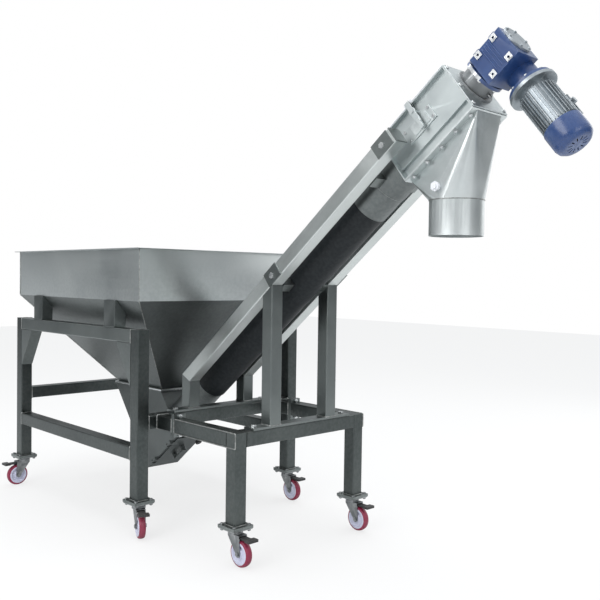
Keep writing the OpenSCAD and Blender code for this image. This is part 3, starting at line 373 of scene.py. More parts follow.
class Effects:
    """Builds each effect's node group when it is first asked for."""

    def __init__(self) -> None:
        """Starts with no groups."""
        self.groups: dict[Effect, bpy.types.NodeTree] = {}
        self.makers: dict[Effect, Callable[[bpy.types.NodeTree], None]] = {
            Effect.GRAIN: self.grain, Effect.CLOUDS: self.clouds, Effect.WEAR_AND_HIGHLIGHT: self.wear_and_highlight,
            Effect.DUST: self.dust}

    def get(self, effect: Effect) -> bpy.types.NodeTree:
        """The effect's node group.

        Args:
            effect: Which effect.

        Returns:
            Its group, made the first time it is asked for.
        """
        if effect not in self.groups:
            tree = bpy.data.node_groups.new(effect.value, "ShaderNodeTree")
            self.makers[effect](tree)
            self.groups[effect] = tree
        return self.groups[effect]

    @staticmethod
    def sockets(tree: bpy.types.NodeTree, value: tuple[str, float] | None, outputs: Sequence[str]) -> None:
        """Names a group's inputs, its coordinates and one value if it has one, and its outputs.

        Args:
            tree: The group.
            value: The value's name and usual amount, or None.
            outputs: The outputs' names.
        """
        tree.interface.new_socket(name="Vector", in_out="INPUT", socket_type="NodeSocketVector")
        if value is not None:
            name, usual = value
            socket = tree.interface.new_socket(name=name, in_out="INPUT", socket_type="NodeSocketFloat")
            socket.default_value = usual
        for name in outputs:
            tree.interface.new_socket(name=name, in_out="OUTPUT", socket_type="NodeSocketFloat")

    def grain(self, tree: bpy.types.NodeTree) -> None:
        """Fine lines from stretched noise, and a coarser set under them.

        Args:
            tree: The group to fill.
        """
        self.sockets(tree, None, ["Height"])
        shader = Shader(tree)
        given = shader.node("NodeGroupInput")
        fine = shader.node("TexNoise", {"Vector": given.outputs[0], "Scale": 1.0, "Detail": 3.0,
                                        "Roughness": 0.65})
        coarse = shader.node("TexNoise", {"Vector": given.outputs[0], "Scale": 0.22, "Detail": 2.0})
        total = shader.maths("ADD", shader.maths("MULTIPLY", fine.outputs[0], 0.6),
                             shader.maths("MULTIPLY", coarse.outputs[0], 0.4))
        shader.node("NodeGroupOutput", {0: total})

    def clouds(self, tree: bpy.types.NodeTree) -> None:
        """Broad soft patches, with smaller ones inside them.

        Args:
            tree: The group to fill.
        """
        self.sockets(tree, ("Scale", 3.0), ["Mask", "Speckle"])
        shader = Shader(tree)
        given = shader.node("NodeGroupInput")
        broad = shader.node("TexNoise", {"Vector": given.outputs[0], "Scale": given.outputs[1], "Detail": 4.0,
                                         "Distortion": 0.6})
        small = shader.node("TexNoise", {"Vector": given.outputs[0], "Detail": 6.0, "Roughness": 0.7,
                                         "Scale": shader.maths("MULTIPLY", given.outputs[1], 22.0)})
        shader.node("NodeGroupOutput", {0: shader.ranged(broad.outputs[0], 0.3, 0.7, 0.0, 1.0),
                                        1: shader.ranged(small.outputs[0], 0.35, 0.65, 0.0, 1.0)})

    def wear_and_highlight(self, tree: bpy.types.NodeTree) -> None:
        """Where edges stand out, broken up by noise: the mask for worn edges and for a painted highlight on
        them.

        Args:
            tree: The group to fill.
        """
        self.sockets(tree, ("Amount", 0.5), ["Mask"])
        shader = Shader(tree)
        given = shader.node("NodeGroupInput")
        edge = shader.ranged(shader.node("NewGeometry").outputs["Pointiness"], 0.51, 0.60, 0.0, 1.0)
        broken = shader.node("TexNoise", {"Vector": given.outputs[0], "Scale": 70.0, "Detail": 5.0})
        mask = shader.maths("MULTIPLY", edge, shader.ranged(broken.outputs[0], 0.38, 0.62, 0.2, 1.0))
        shader.node("NodeGroupOutput", {0: shader.maths("MULTIPLY", mask, given.outputs[1])})

    def dust(self, tree: bpy.types.NodeTree) -> None:
        """More on faces that look up and near the floor, in soft patches.

        Args:
            tree: The group to fill.
        """
        self.sockets(tree, ("Amount", 0.3), ["Mask"])
        shader = Shader(tree)
        given = shader.node("NodeGroupInput")
        facing = shader.node("SeparateXYZ", {0: shader.node("NewGeometry").outputs["Normal"]}).outputs[2]
        height = shader.node("SeparateXYZ", {0: given.outputs[0]}).outputs[2]
        patch = shader.node("TexNoise", {"Vector": given.outputs[0], "Scale": 9.0, "Detail": 7.0})
        upward = shader.ranged(facing, 0.2, 1.0, 0.0, 1.0)
        low = shader.ranged(height, 0.0, 0.28, 0.6, 0.0)
        both = shader.maths("MAXIMUM", upward, low)
        mask = shader.maths("MULTIPLY", both, shader.ranged(patch.outputs[0], 0.35, 0.7, 0.0, 1.0))
        shader.node("NodeGroupOutput", {0: shader.maths("MULTIPLY", mask, given.outputs[1])})


Colour = tuple[float, float, float, float]


@dataclass(frozen=True)
class Finish:
    """A surface finish: two tones, gloss, grain, edges lightened for wear and as a painted highlight, and
    dust.
    """

    name: str
    tone: Colour
    second_tone: Colour
    metallic: float = 1.0
    roughness: float = 0.35
    roughness_spread: float = 0.12
    cloud_scale: float = 3.0
    grain_scale: tuple[float, float, float] = (60.0, 60.0, 60.0)
    grain_bump: float = 0.10
    grain_shade: float = 0.10
    edge_tone: Colour = (0.80, 0.82, 0.82, 1.0)
    edge_amount: float = 0.4
    dust_tone: Colour = (0.36, 0.34, 0.30, 1.0)
    dust_amount: float = 0.12
    coat: float = 0.0
    coat_roughness: float = 0.10
    specular: float = 0.5

    def build(self, effects: Effects) -> bpy.types.Material:
        """Builds the material from the shared effects.

        Args:
            effects: The node groups.

        Returns:
            The material.
        """
        made = bpy.data.materials.new(self.name)
        made.use_nodes = True
        made.node_tree.nodes.clear()
        shader = Shader(made.node_tree)
        place = shader.node("TexCoord").outputs["Object"]
        stretched = shader.node("Mapping", {"Vector": place, "Scale": self.grain_scale})
        grain = self.effect(shader, effects, Effect.GRAIN, stretched.outputs[0])
        clouds = self.effect(shader, effects, Effect.CLOUDS, place, self.cloud_scale)
        wear_and_highlight = self.effect(shader, effects, Effect.WEAR_AND_HIGHLIGHT, place, self.edge_amount)
        dust = self.effect(shader, effects, Effect.DUST, place, self.dust_amount)
        colour = shader.mixed(clouds.outputs[0], self.tone, self.second_tone)
        streak = shader.ranged(grain.outputs[0], 0.3, 0.7, 0.0, self.grain_shade * 2)
        colour = shader.mixed(streak, colour, self.second_tone)
        # Edges lightened towards the edge tone: wear, and a painted highlight.
        colour = shader.mixed(wear_and_highlight.outputs[0], colour, self.edge_tone)
        colour = shader.mixed(dust.outputs[0], colour, self.dust_tone)
        half_spread = self.roughness_spread / 2
        uneven = shader.maths("ADD", shader.maths("MULTIPLY", grain.outputs[0], 0.6),
                              shader.maths("MULTIPLY", clouds.outputs[0], 0.4))
        rough = shader.ranged(uneven, 0.3, 0.7, self.roughness - half_spread, self.roughness + half_spread)
        rough = shader.maths("ADD", rough, shader.maths("MULTIPLY", dust.outputs[0], 0.5))
        relief = shader.maths("ADD", grain.outputs[0], shader.maths("MULTIPLY", clouds.outputs[1], 0.06))
        bump = shader.node("Bump", {"Height": relief, "Strength": self.grain_bump,
                                    "Distance": BUMP_DISTANCE})
        surface = shader.node("BsdfPrincipled", {
            "Base Color": colour, "Metallic": self.metallic, "Roughness": rough, "Normal": bump.outputs[0],
            "Specular IOR Level": self.specular, "Coat Weight": self.coat,
            "Coat Roughness": self.coat_roughness})
        shader.node("OutputMaterial", {0: surface.outputs[0]})
        return made

    @staticmethod
    def effect(shader: Shader, effects: Effects, kind: Effect, place: bpy.types.NodeSocket,
               value: float | None = None) -> bpy.types.Node:
        """Adds a shared effect with its coordinates, and its one value if it has one.

        Args:
            shader: The material being made.
            effects: The shared groups.
            kind: Which effect.
            place: Its coordinates.
            value: Its one value, or None.

        Returns:
            The group's node.
        """
        node = shader.node("Group", node_tree=effects.get(kind))
        shader.tree.links.new(place, node.inputs[0])
        if value is not None:
            node.inputs[1].default_value = value
        return node


# ---- The workshop ----


@dataclass
class Workshop:
    """What every sub-assembly works with: the model's nodes, its record, and the finishes."""

    nodes: dict[str, bpy.types.Object]
    record: dict[str, Any]
    effects: Effects = field(default_factory=Effects)
    materials: dict[str, bpy.types.Material] = field(default_factory=dict)

    def __post_init__(self) -> None:
        """Looks up each node's body, each node's slot and each joint."""
        behaviour = self.record["behaviour"]
        self.body = {node: body for body, members in behaviour["bodies"].items() for node in members}
        self.slots = {part["node"]: part["material_slot"] for part in self.record["subparts"]}
        self.joints = {joint["name"]: joint for joint in behaviour["joints"]}
        spin = self.joints["screw_spin"]
        self.conveyor = place_along(spin["pos_m"], spin["axis"])

    def dress(self, finish: Finish) -> bpy.types.Material:
        """The finish's material, built once."""
        if finish.name not in self.materials:
            self.materials[finish.name] = finish.build(self.effects)
        return self.materials[finish.name]

    def keep(self, node: str, finish: Finish) -> None:
        """Gives a CAD node that stays its finish.

        Args:
            node: The CAD node.
            finish: Its finish.
        """
        mesh = self.nodes[node].data
        mesh.materials.clear()
        mesh.materials.append(self.dress(finish))
        LOG.info("%s kept, finished in %s", node, finish.name)

    def piece(self, name: str, mesh: bpy.types.Mesh, body: str, slot: str, finish: Finish,
              replaces: Sequence[str] = ()) -> bpy.types.Object:
        """Adds a new piece to the scene.

        Args:
            name: The piece's name.
            mesh: Its mesh, in place.
            body: The body it moves with.
            slot: The record's material slot; not used.
            finish: Its finish.
            replaces: The CAD nodes it stands for.

        Returns:
            The piece's object.
        """
        made = bpy.data.objects.new(name, mesh)
        bpy.context.scene.collection.objects.link(made)
        if not mesh.materials:
            mesh.materials.append(self.dress(finish))
        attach(made, body)
        if replaces:
            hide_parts(*replaces)
        LOG.info("%s made with %d faces", name, len(mesh.polygons))
        return made

    def merged(self, node: str) -> bmesh.types.BMesh:
        """A copy of a CAD node's mesh with its loose triangles joined and its flat faces whole.

        Args:
            node: The CAD node.

        Returns:
            The joined shape, which the caller frees.
        """
        shape = bmesh.new()
        shape.from_mesh(self.nodes[node].data)
        bmesh.ops.remove_doubles(shape, verts=shape.verts, dist=MERGE_DISTANCE)
        bmesh.ops.dissolve_limit(shape, angle_limit=math.radians(0.5), verts=shape.verts, edges=shape.edges)
        return shape

    def softened(self, node: str, finish: Finish, width: float, long_edges: float = 0.0,
                 paint: Callable[[np.ndarray], np.ndarray] | None = None,
                 others: Sequence[Finish] = ()) -> bpy.types.Object:
        """A CAD node's shape with its edges eased, which then stands for the node.

        Args:
            node: The CAD node.
            finish: The finish of its faces.
            width: The radius of an eased edge.
            long_edges: Where above zero, the radius of outward edges longer than LONG_EDGE.
            paint: Gives each face's finish number from the faces' middles.
            others: The finishes after the first.

        Returns:
            The new piece.
        """
        shape = self.merged(node)
        self.weigh(shape, width, long_edges)
        mesh = bpy.data.meshes.new(node + "_eased")
        shape.to_mesh(mesh)
        shape.free()
        for each in (finish, *others):
            mesh.materials.append(self.dress(each))
        if paint is not None:
            middles = np.empty(len(mesh.polygons) * 3)
            mesh.polygons.foreach_get("center", middles)
            numbers = paint(middles.reshape(-1, 3)).astype(np.int32)
            mesh.polygons.foreach_set("material_index", numbers)
        mesh.shade_smooth()
        mesh.set_sharp_from_angle(angle=math.radians(EASED_ANGLE))
        made = self.piece(node + "_eased", mesh, self.body[node], self.slots[node], finish, [node])
        bevel = made.modifiers.new("eased edges", "BEVEL")
        bevel.limit_method = "WEIGHT"
        bevel.width = max(width, long_edges)
        bevel.segments = 3 if long_edges else 2
        bevel.use_clamp_overlap = not long_edges
        bevel.harden_normals = True
        return made

    @staticmethod
    def weigh(shape: bmesh.types.BMesh, width: float, long_edges: float) -> None:
        """Marks how far each sharp edge is eased, as a share of the widest.

        Args:
            shape: The joined shape.
            width: The radius of an eased edge.
            long_edges: Where above zero, the radius of long outward edges.
        """
        weight = shape.edges.layers.float.new("bevel_weight_edge")
        widest = max(width, long_edges)
        for edge in shape.edges:
            if len(edge.link_faces) == 2 and edge.calc_face_angle(0.0) > math.radians(EASED_ANGLE):
                outward = edge.calc_face_angle_signed(0.0) > 0
                if long_edges and outward and edge.calc_length() > LONG_EDGE:
                    edge[weight] = 1.0
                elif outward or not long_edges:
                    edge[weight] = width / widest

    def islands(self, node: str) -> list[tuple[np.ndarray, np.ndarray]]:
        """The lowest and highest corners of each separate solid of a CAD node.

        Args:
            node: The CAD node.

        Returns:
            Each solid's two corners, in order of the lowest.
        """
        shape = self.merged(node)
        shape.verts.ensure_lookup_table()
        unseen = set(range(len(shape.verts)))
        found = []
        while unseen:
            front, group = [unseen.pop()], []
            while front:
                vertex = shape.verts[front.pop()]
                group.append(vertex.index)
                for edge in vertex.link_edges:
                    other = edge.other_vert(vertex).index
                    if other in unseen:
                        unseen.remove(other)
                        front.append(other)
            points = np.array([shape.verts[i].co[:] for i in group])
            found.append((points.min(0), points.max(0)))
        shape.free()
        return sorted(found, key=lambda pair: tuple(np.round(pair[0], 4)))


# ---- Finishes of this machine ----

# The frame is one stainless steel in three tones set by how light falls: painted shade on the low tubes
# (LEG_STEEL), lighter painted shade on the upper tubes and plates (TUBE_STEEL), painted light on the rails
# (RAIL_STEEL).
LEG_STEEL = Finish("shaded_leg_steel", (0.062, 0.072, 0.071, 1), (0.098, 0.110, 0.107, 1), roughness=0.34,
                   roughness_spread=0.08, grain_scale=(700, 700, 700), cloud_scale=4.0, grain_bump=0.05,
                   grain_shade=0.05, edge_amount=0.18)
TUBE_STEEL = Finish("shaded_tube_steel", (0.155, 0.172, 0.170, 1), (0.215, 0.235, 0.230, 1), roughness=0.34,
                    roughness_spread=0.08, grain_scale=(700, 700, 700), cloud_scale=4.0, grain_bump=0.05,
                    grain_shade=0.05, edge_amount=0.06)
RAIL_STEEL = Finish("lit_rail_steel", (0.50, 0.53, 0.52, 1), (0.60, 0.63, 0.62, 1), roughness=0.36,
                    roughness_spread=0.10, grain_scale=(700, 700, 700), cloud_scale=4.0, grain_bump=0.10)
SHEET_STEEL = Finish("brushed_sheet_steel", (0.40, 0.43, 0.435, 1), (0.49, 0.515, 0.51, 1), roughness=0.38,
                     roughness_spread=0.14, grain_scale=(12, 12, 520), cloud_scale=2.2, grain_bump=0.10,
                     grain_shade=0.16)
# A darker copy of the sheet steel, painted shade: on the hopper's cone, the trough, the cleanout door and the
# screw tubes.
CONE_STEEL = Finish("shaded_cone_steel", (0.105, 0.116, 0.116, 1), (0.165, 0.180, 0.178, 1), roughness=0.42,
                    roughness_spread=0.10, grain_scale=(30, 900, 120), cloud_scale=2.6, grain_bump=0.06,
                    grain_shade=0.06, edge_amount=0.08)
HEAD_STEEL = Finish("blasted_head_steel", (0.42, 0.46, 0.465, 1), (0.54, 0.58, 0.58, 1), roughness=0.44,
                    grain_scale=(300, 300, 300), cloud_scale=6.0, grain_bump=0.10)
SPOUT_STEEL = Finish("rolled_spout_steel", (0.49, 0.53, 0.53, 1), (0.61, 0.64, 0.64, 1), roughness=0.40,
                     grain_scale=(14, 14, 420), cloud_scale=5.0, grain_bump=0.09, grain_shade=0.14)
TURNED_STEEL = Finish("turned_steel", (0.50, 0.52, 0.52, 1), (0.62, 0.64, 0.64, 1), roughness=0.26,
                      grain_scale=(420, 420, 420), grain_bump=0.06)
WELD_STEEL = Finish("weld_steel", (0.15, 0.16, 0.155, 1), (0.27, 0.275, 0.26, 1), roughness=0.45,
                    grain_scale=(260, 260, 260), grain_bump=0.2, cloud_scale=30.0)
ZINC = Finish("zinc_plate", (0.16, 0.17, 0.18, 1), (0.26, 0.27, 0.275, 1), roughness=0.33, cloud_scale=24.0,
              grain_scale=(200, 200, 200), dust_amount=0.25)
BOLT_STEEL = Finish("bright_bolt_steel", (0.58, 0.60, 0.61, 1), (0.70, 0.71, 0.71, 1), roughness=0.28,
                    cloud_scale=40.0, grain_scale=(300, 300, 300))
BLACK_CASING = Finish("black_casing", (0.006, 0.008, 0.010, 1), (0.013, 0.016, 0.019, 1), metallic=0.0,
                      roughness=0.55, specular=0.22, grain_scale=(160, 160, 160), grain_bump=0.10,
                      edge_amount=0.15, edge_tone=(0.10, 0.11, 0.11, 1), dust_amount=0.05, cloud_scale=4.0)
CAST_IRON = Finish("dark_cast_iron", (0.10, 0.105, 0.11, 1), (0.16, 0.165, 0.17, 1), metallic=0.85,
                   roughness=0.5, grain_scale=(420, 420, 420), grain_bump=0.35, cloud_scale=18.0)
# The lighter blue on the enamel's edges is a painted highlight, laid with the edge mask.
BLUE_ENAMEL = Finish("blue_enamel", (0.010, 0.036, 0.135, 1), (0.017, 0.056, 0.185, 1), metallic=0.0,
                     roughness=0.36, grain_scale=(260, 260, 260), grain_bump=0.22, grain_shade=0.05,
                     edge_tone=(0.20, 0.27, 0.42, 1), edge_amount=0.35, dust_amount=0.02, coat=0.30,
                     coat_roughness=0.16, cloud_scale=9.0)
CAST_ALUMINIUM = Finish("cast_aluminium", (0.24, 0.27, 0.29, 1), (0.34, 0.375, 0.40, 1), metallic=0.9,
                        roughness=0.42, grain_scale=(380, 380, 380), grain_bump=0.25, cloud_scale=14.0,
                        dust_amount=0.08)
MACHINED = Finish("machined_pad", (0.66, 0.67, 0.68, 1), (0.78, 0.79, 0.80, 1), roughness=0.25,
                  grain_scale=(90, 900, 900), grain_bump=0.08)
RED_TREAD = Finish("red_tread", (0.20, 0.008, 0.040, 1), (0.29, 0.016, 0.060, 1), metallic=0.0,
                   roughness=0.42, grain_scale=(260, 260, 260), grain_bump=0.14, edge_amount=0.1,
                   edge_tone=(0.5, 0.10, 0.14, 1), dust_amount=0.16, cloud_scale=20.0)
LANTERN_IRON = Finish("grey_lantern_iron", (0.14, 0.148, 0.155, 1), (0.24, 0.25, 0.255, 1), metallic=0.9,
                      roughness=0.48, grain_scale=(420, 420, 420), grain_bump=0.3, cloud_scale=18.0)
WHITE_HUB = Finish("white_hub", (0.52, 0.53, 0.68, 1), (0.62, 0.63, 0.76, 1), metallic=0.0, roughness=0.40,
                   grain_scale=(300, 300, 300), grain_bump=0.05, edge_tone=(0.85, 0.85, 0.85, 1),
                   dust_amount=0.22)
WHITE_PLASTIC = Finish("white_plastic", (0.66, 0.68, 0.72, 1), (0.74, 0.75, 0.78, 1), metallic=0.0,
                       roughness=0.34, grain_scale=(300, 300, 300), grain_bump=0.05, edge_amount=0.1,
                       dust_amount=0.06)
BLACK_PLASTIC = Finish("black_plastic", (0.011, 0.011, 0.012, 1), (0.020, 0.020, 0.021, 1), metallic=0.0,
                       roughness=0.46, grain_scale=(500, 500, 500), grain_bump=0.20, edge_amount=0.2,
                       edge_tone=(0.07, 0.07, 0.07, 1), dust_amount=0.10)


# ---- Sub-assemblies ----


@dataclass
class Welding:
    """Lays weld beads at the joints of the frame."""

    shop: Workshop
    bead_radius: float = 0.0024
    step: float = 0.0026
    corner: float = 0.004
    ring_radius: float = 0.0022
    # Any direction that no seam runs along
    skew: tuple[float, float, float] = (0.31, 0.52, 0.79)

    def square(self, centre: Sequence[float], axis: Sequence[float], half_x: float, half_y: float) -> Grid:
        """A bead round a square tube's end."""
        loop = rounded_square(half_x, half_y, self.corner, self.step)
        side = (0, 0, 1) if abs(axis[2]) < 0.5 else (1, 0, 0)
        return bead(place_along(centre, axis, side).put(loop), axis, self.bead_radius, True), True, True

    def ring(self, place: Place, radius: float, level: float, step: float = RING_STEP) -> Grid:
        """A bead round a tube, square to the place's third axis, with an even count of rings."""
        loop = circle(radius, level, 2 * int(math.pi * radius / step))
        return bead(place.put(loop), place.axes[2], self.ring_radius, True), True, True

    def seam(self, start: Sequence[float], end: Sequence[float]) -> Grid:
        """A straight bead from start to end."""
        path = line(start, end, self.step)
        across = np.cross(path[-1] - path[0], self.skew)
        return bead(path, across / np.linalg.norm(across), self.bead_radius, False), False, True

    def lay(self, name: str, grids: Sequence[Grid], slot: str = "frame_steel") -> None:
        """Makes one piece of several beads that belong to the fixed frame."""
        self.shop.piece(name, grid_mesh(name, grids, 180), "frame", slot, WELD_STEEL)

    def feet(self, node: str) -> list[Grid]:
        """Beads round the lower ends of a node's upright tubes.

        Args:
            node: The CAD node.

        Returns:
            One bead for each tube.
        """
        grids = []
        for low, high in self.shop.islands(node):
            foot = [*(low[:2] + high[:2]) / 2, low[2]]
            grids.append(self.square(foot, (0, 0, 1), *(high[:2] - low[:2]) / 2))
        return grids

    def tube_ends(self, node: str) -> list[Grid]:
        """Beads round both ends of each tube of a node, along the tube's longest side.

        Args:
            node: The CAD node.

        Returns:
            Two beads for each tube.
        """
        grids = []
        for low, high in self.shop.islands(node):
            size = high - low
            along = int(np.argmax(size))
            axis = np.eye(3)[along]
            halves = np.delete(size, along) / 2
            for end in (low[along], high[along]):
                centre = (low + high) / 2
                centre[along] = end
                first, second = (halves[1], halves[0]) if along < 2 else (halves[0], halves[1])
                grids.append(self.square(centre, axis, first, second))
        return grids


@dataclass
class Chassis:
    """The two square-tube frames, the conveyor's rails and posts, and their bolts and welds."""

    shop: Workshop
    tube_corner: float = 0.0055
    plate_edge: float = 0.0009
    bolt_edge: float = 0.0006
    low_tubes: tuple[str, ...] = ("legs", "lower_rails", "cart_beams")
    high_tubes: tuple[str, ...] = ("top_beams", "conveyor_posts")
    plates: tuple[str, ...] = ("foot_plates", "corner_gussets", "joint_flanges", "foot_bars", "rail_plates",
                               "hopper_feet")

    def build(self) -> None:
        """Builds every piece of the chassis."""
        # Painted shade and light: the low tubes get the darkest copy of the frame steel, the upper tubes and
        # plates a lighter shaded copy, the rails a lit copy.
        for node in self.low_tubes:
            self.shop.softened(node, LEG_STEEL, self.plate_edge, self.tube_corner)
        for node in self.high_tubes:
            self.shop.softened(node, TUBE_STEEL, self.plate_edge, self.tube_corner)
        self.shop.softened("conveyor_rails", RAIL_STEEL, self.plate_edge, self.tube_corner)
        for node in self.plates:
            self.shop.softened(node, TUBE_STEEL, self.plate_edge)
        for node in ("caster_plates", "caster_bolts"):
            self.shop.softened(node, ZINC, self.bolt_edge)
        self.shop.softened("frame_bolts", BOLT_STEEL, self.bolt_edge)
        welding = Welding(self.shop)
        for node in ("lower_rails", "cart_beams", "top_beams"):
            welding.lay(node + "_welds", welding.tube_ends(node))
        welding.lay("leg_foot_welds", welding.feet("legs"))
        welding.lay("post_foot_welds", welding.feet("conveyor_posts"))


@dataclass
class Hopper:
    """The sheet hopper with its lip, welded corners and outlet."""

    shop: Workshop
    sheet: float = 0.003
    lip: float = 0.022
    band_height: float = 0.231
    outlet_width: float = 0.150
    outlet_length: float = 0.400
    edge: float = 0.0009

    def build(self) -> None:
        """Builds the panels, the lip's rolled edge and the seams."""
        fold_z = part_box("hopper_side_panels")[1].z - self.band_height

        def below_fold(middles: np.ndarray) -> np.ndarray:
            """Face numbers of a panel: 1 on the cone, which is darkened as painted shade, 0 on the band."""
            return (middles[:, 2] < fold_z).astype(int)

        # The cone below the fold gets the darker copy of the steel, painted shade.
        for node in ("hopper_end_panels", "hopper_side_panels"):
            self.shop.softened(node, SHEET_STEEL, self.edge, paint=below_fold, others=[CONE_STEEL])
        self.shop.softened("outlet_flange", TURNED_STEEL, self.edge)
        # The trough and the door get the same darker copy of the steel, painted shade.
        for node in ("trough", "cleanout_door"):
            self.shop.softened(node, CONE_STEEL, self.edge)
        low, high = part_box("hopper_side_panels")
        end_low, end_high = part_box("hopper_end_panels")
        low = Vector(map(min, low, end_low))
        high = Vector(map(max, high, end_high))
        middle = (low + high) / 2
        half_x, half_y = high.x - middle.x - self.lip, high.y - middle.y - self.lip
        band_z = high.z - self.band_height
        outlet_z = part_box("outlet_flange")[1].z
        welding = Welding(self.shop, bead_radius=0.002)
        grids = []
        for x in (-1, 1):
            for y in (-1, 1):
                top = (middle.x + x * half_x, middle.y + y * half_y, high.z - self.sheet)
                fold = (middle.x + x * half_x, middle.y + y * half_y, band_z)
                foot = (middle.x + x * (self.outlet_width / 2 + self.sheet),
                        middle.y + y * (self.outlet_length / 2 + self.sheet), outlet_z)
                grids += [welding.seam(top, fold), welding.seam(fold, foot)]
        welding.lay("hopper_corner_welds", grids, "sheet_steel")


@dataclass
class ScrewTube:
    """The tube round the screw: a bare lower end, a black casing, and a steel upper end with its collar."""

    shop: Workshop
    wall: float = 0.002
    segments: int = 96
    edge: float = 0.0008
    bearing_edge: float = 0.002
    # How far apart two radii are before they count as different tubes
    same_radius: float = 0.001
    lower_tolerance: float = 0.0005
    collar_overlap: float = 0.0004

    def tube(self, start: float, end: float, radius: float, wall: float) -> Grid:
        """A tube between two places along the screw: outer and inner walls joined by eased ends.

        Args:
            start: Where it starts along the screw.
            end: Where it ends.
            radius: Its outer radius.
            wall: Its wall's thickness.

        Returns:
            The closed grid of its walls.
        """
        edge = min(self.edge, wall / 3)
        profile = [(radius - wall, start + edge), (radius - wall + edge, start), (radius - edge, start),
                   (radius, start + edge), (radius, end - edge), (radius - edge, end),
                   (radius - wall + edge, end), (radius - wall, end - edge)]
        return lathe(profile, self.shop.conveyor, self.segments), True, True

    def build(self) -> None:
        """Builds the tubes, their welds, and finishes the screw."""
        place = self.shop.conveyor
        casing, steel, head = (place.local(mesh_points(self.shop.nodes[node].data))
                               for node in ("casing_tube", "steel_tubes", "head_box"))
        casing_r = np.hypot(casing[:, 0], casing[:, 1])
        steel_r = np.hypot(steel[:, 0], steel[:, 1])
        low, high = casing[:, 2].min(), casing[:, 2].max()
        lower_r = steel_r[steel[:, 2] < low].max()
        grids = [self.tube(low, high, casing_r.max(), casing_r.max() - casing_r.min())]
        self.shop.piece("casing_sleeve", grid_mesh("casing_sleeve", grids), "frame", "black_casing",
                        BLACK_CASING, ["casing_tube"])
        upper_start = steel[steel_r > casing_r.max() + self.same_radius][:, 2].min()
        upper_r = steel_r[abs(steel[:, 2] - upper_start) < MILLIMETRE].max()
        collar_start = steel[steel_r > upper_r + self.same_radius][:, 2].min()
        lower_end = steel[steel_r < lower_r + self.lower_tolerance][:, 2]
        lower_end = lower_end[lower_end < upper_start].max()
        collar_wall = steel_r.max() - upper_r - self.collar_overlap
        grids = [self.tube(steel[:, 2].min(), lower_end, lower_r, self.wall),
                 self.tube(upper_start, steel[:, 2].max(), upper_r, self.wall),
                 self.tube(collar_start, steel[:, 2].max(), steel_r.max(), collar_wall)]
        # The tubes get the darker copy of the sheet steel, painted shade.
        self.shop.piece("screw_tubes", grid_mesh("screw_tubes", grids), "frame", "sheet_steel", CONE_STEEL,
                        ["steel_tubes"])
        welding = Welding(self.shop)
        rings = [welding.ring(place, steel_r.max(), head[:, 2].min()),
                 welding.ring(place, upper_r, collar_start)]
        welding.lay("screw_tube_welds", rings, "sheet_steel")
        self.shop.keep("screw_shaft", TURNED_STEEL)
        self.shop.keep("screw_flight", SHEET_STEEL)
        self.shop.softened("tail_bearing", CAST_IRON, self.bearing_edge)


@dataclass
class DischargeHead:
    """The head box with its cover, latch, inspection plate, spout and level sensor."""

    shop: Workshop
    edge: float = 0.0009
    latch_edge: float = 0.0016
    plate_edge: float = 0.0012
    bolt_edge: float = 0.0006
    spout_edge: float = 0.0008
    sensor_edge: float = 0.0014
    knob_edge: float = 0.003
    # The keeper block's reach across the head, its level along the screw and half its length
    keeper_x: tuple[float, float] = (-0.1045, -0.08)
    keeper_s: float = 1.553
    keeper_half_length: float = 0.0215
    keeper_top: float = 0.0945
    tip_start: float = 0.064
    collar_weld_rise: float = 0.004
    collar_weld_step: float = 0.0028

    def keeper(self, middles: np.ndarray) -> np.ndarray:
        """Face numbers of the cover: 1 on the white keeper block, 0 elsewhere.

        Args:
            middles: The faces' middles.

        Returns:
            A number for each face.
        """
        x, n, s = self.shop.conveyor.local(middles).T
        outer, inner = self.keeper_x
        near = (x > outer) & (x < inner) & (abs(s - self.keeper_s) < self.keeper_half_length)
        return (near & (n > self.keeper_top)).astype(int)

    def latch_tip(self, middles: np.ndarray) -> np.ndarray:
        """Face numbers of the latch: 1 on its black tip under the keeper, 0 elsewhere."""
        return (self.shop.conveyor.local(middles)[:, 1] > self.tip_start).astype(int)

    def build(self) -> None:
        """Builds the head's pieces."""
        self.shop.softened("head_box", HEAD_STEEL, self.edge)
        self.shop.softened("head_cover", HEAD_STEEL, self.edge, paint=self.keeper, others=[WHITE_PLASTIC])
        self.shop.softened("cover_latch", HEAD_STEEL, self.latch_edge, paint=self.latch_tip,
                           others=[BLACK_PLASTIC])
        self.shop.softened("inspection_plate", HEAD_STEEL, self.plate_edge)
        self.shop.softened("head_end_plate", HEAD_STEEL, self.edge)
        self.shop.softened("head_bolts", BOLT_STEEL, self.bolt_edge)
        self.shop.softened("discharge_spout", SPOUT_STEEL, self.spout_edge)
        self.shop.softened("level_sensor", WHITE_PLASTIC, self.sensor_edge)
        self.shop.softened("door_knob", BLACK_PLASTIC, self.knob_edge)
        self.collar_weld()

    def collar_weld(self) -> None:
        """The weld round the top of the spout's collar."""
        mount = next(m for m in self.shop.record["mounts"] if m["name"] == "discharge_collar")
        upright = Place(np.array(mount["pos_m"], float), np.eye(3))
        radius = mount["dims"]["r_mm"] * MILLIMETRE
        half = mount["dims"]["length_mm"] * MILLIMETRE / 2
        welding = Welding(self.shop)
        ring = welding.ring(upright, radius, half + self.collar_weld_rise, self.collar_weld_step)
        welding.lay("spout_collar_weld", [ring], "sheet_steel")


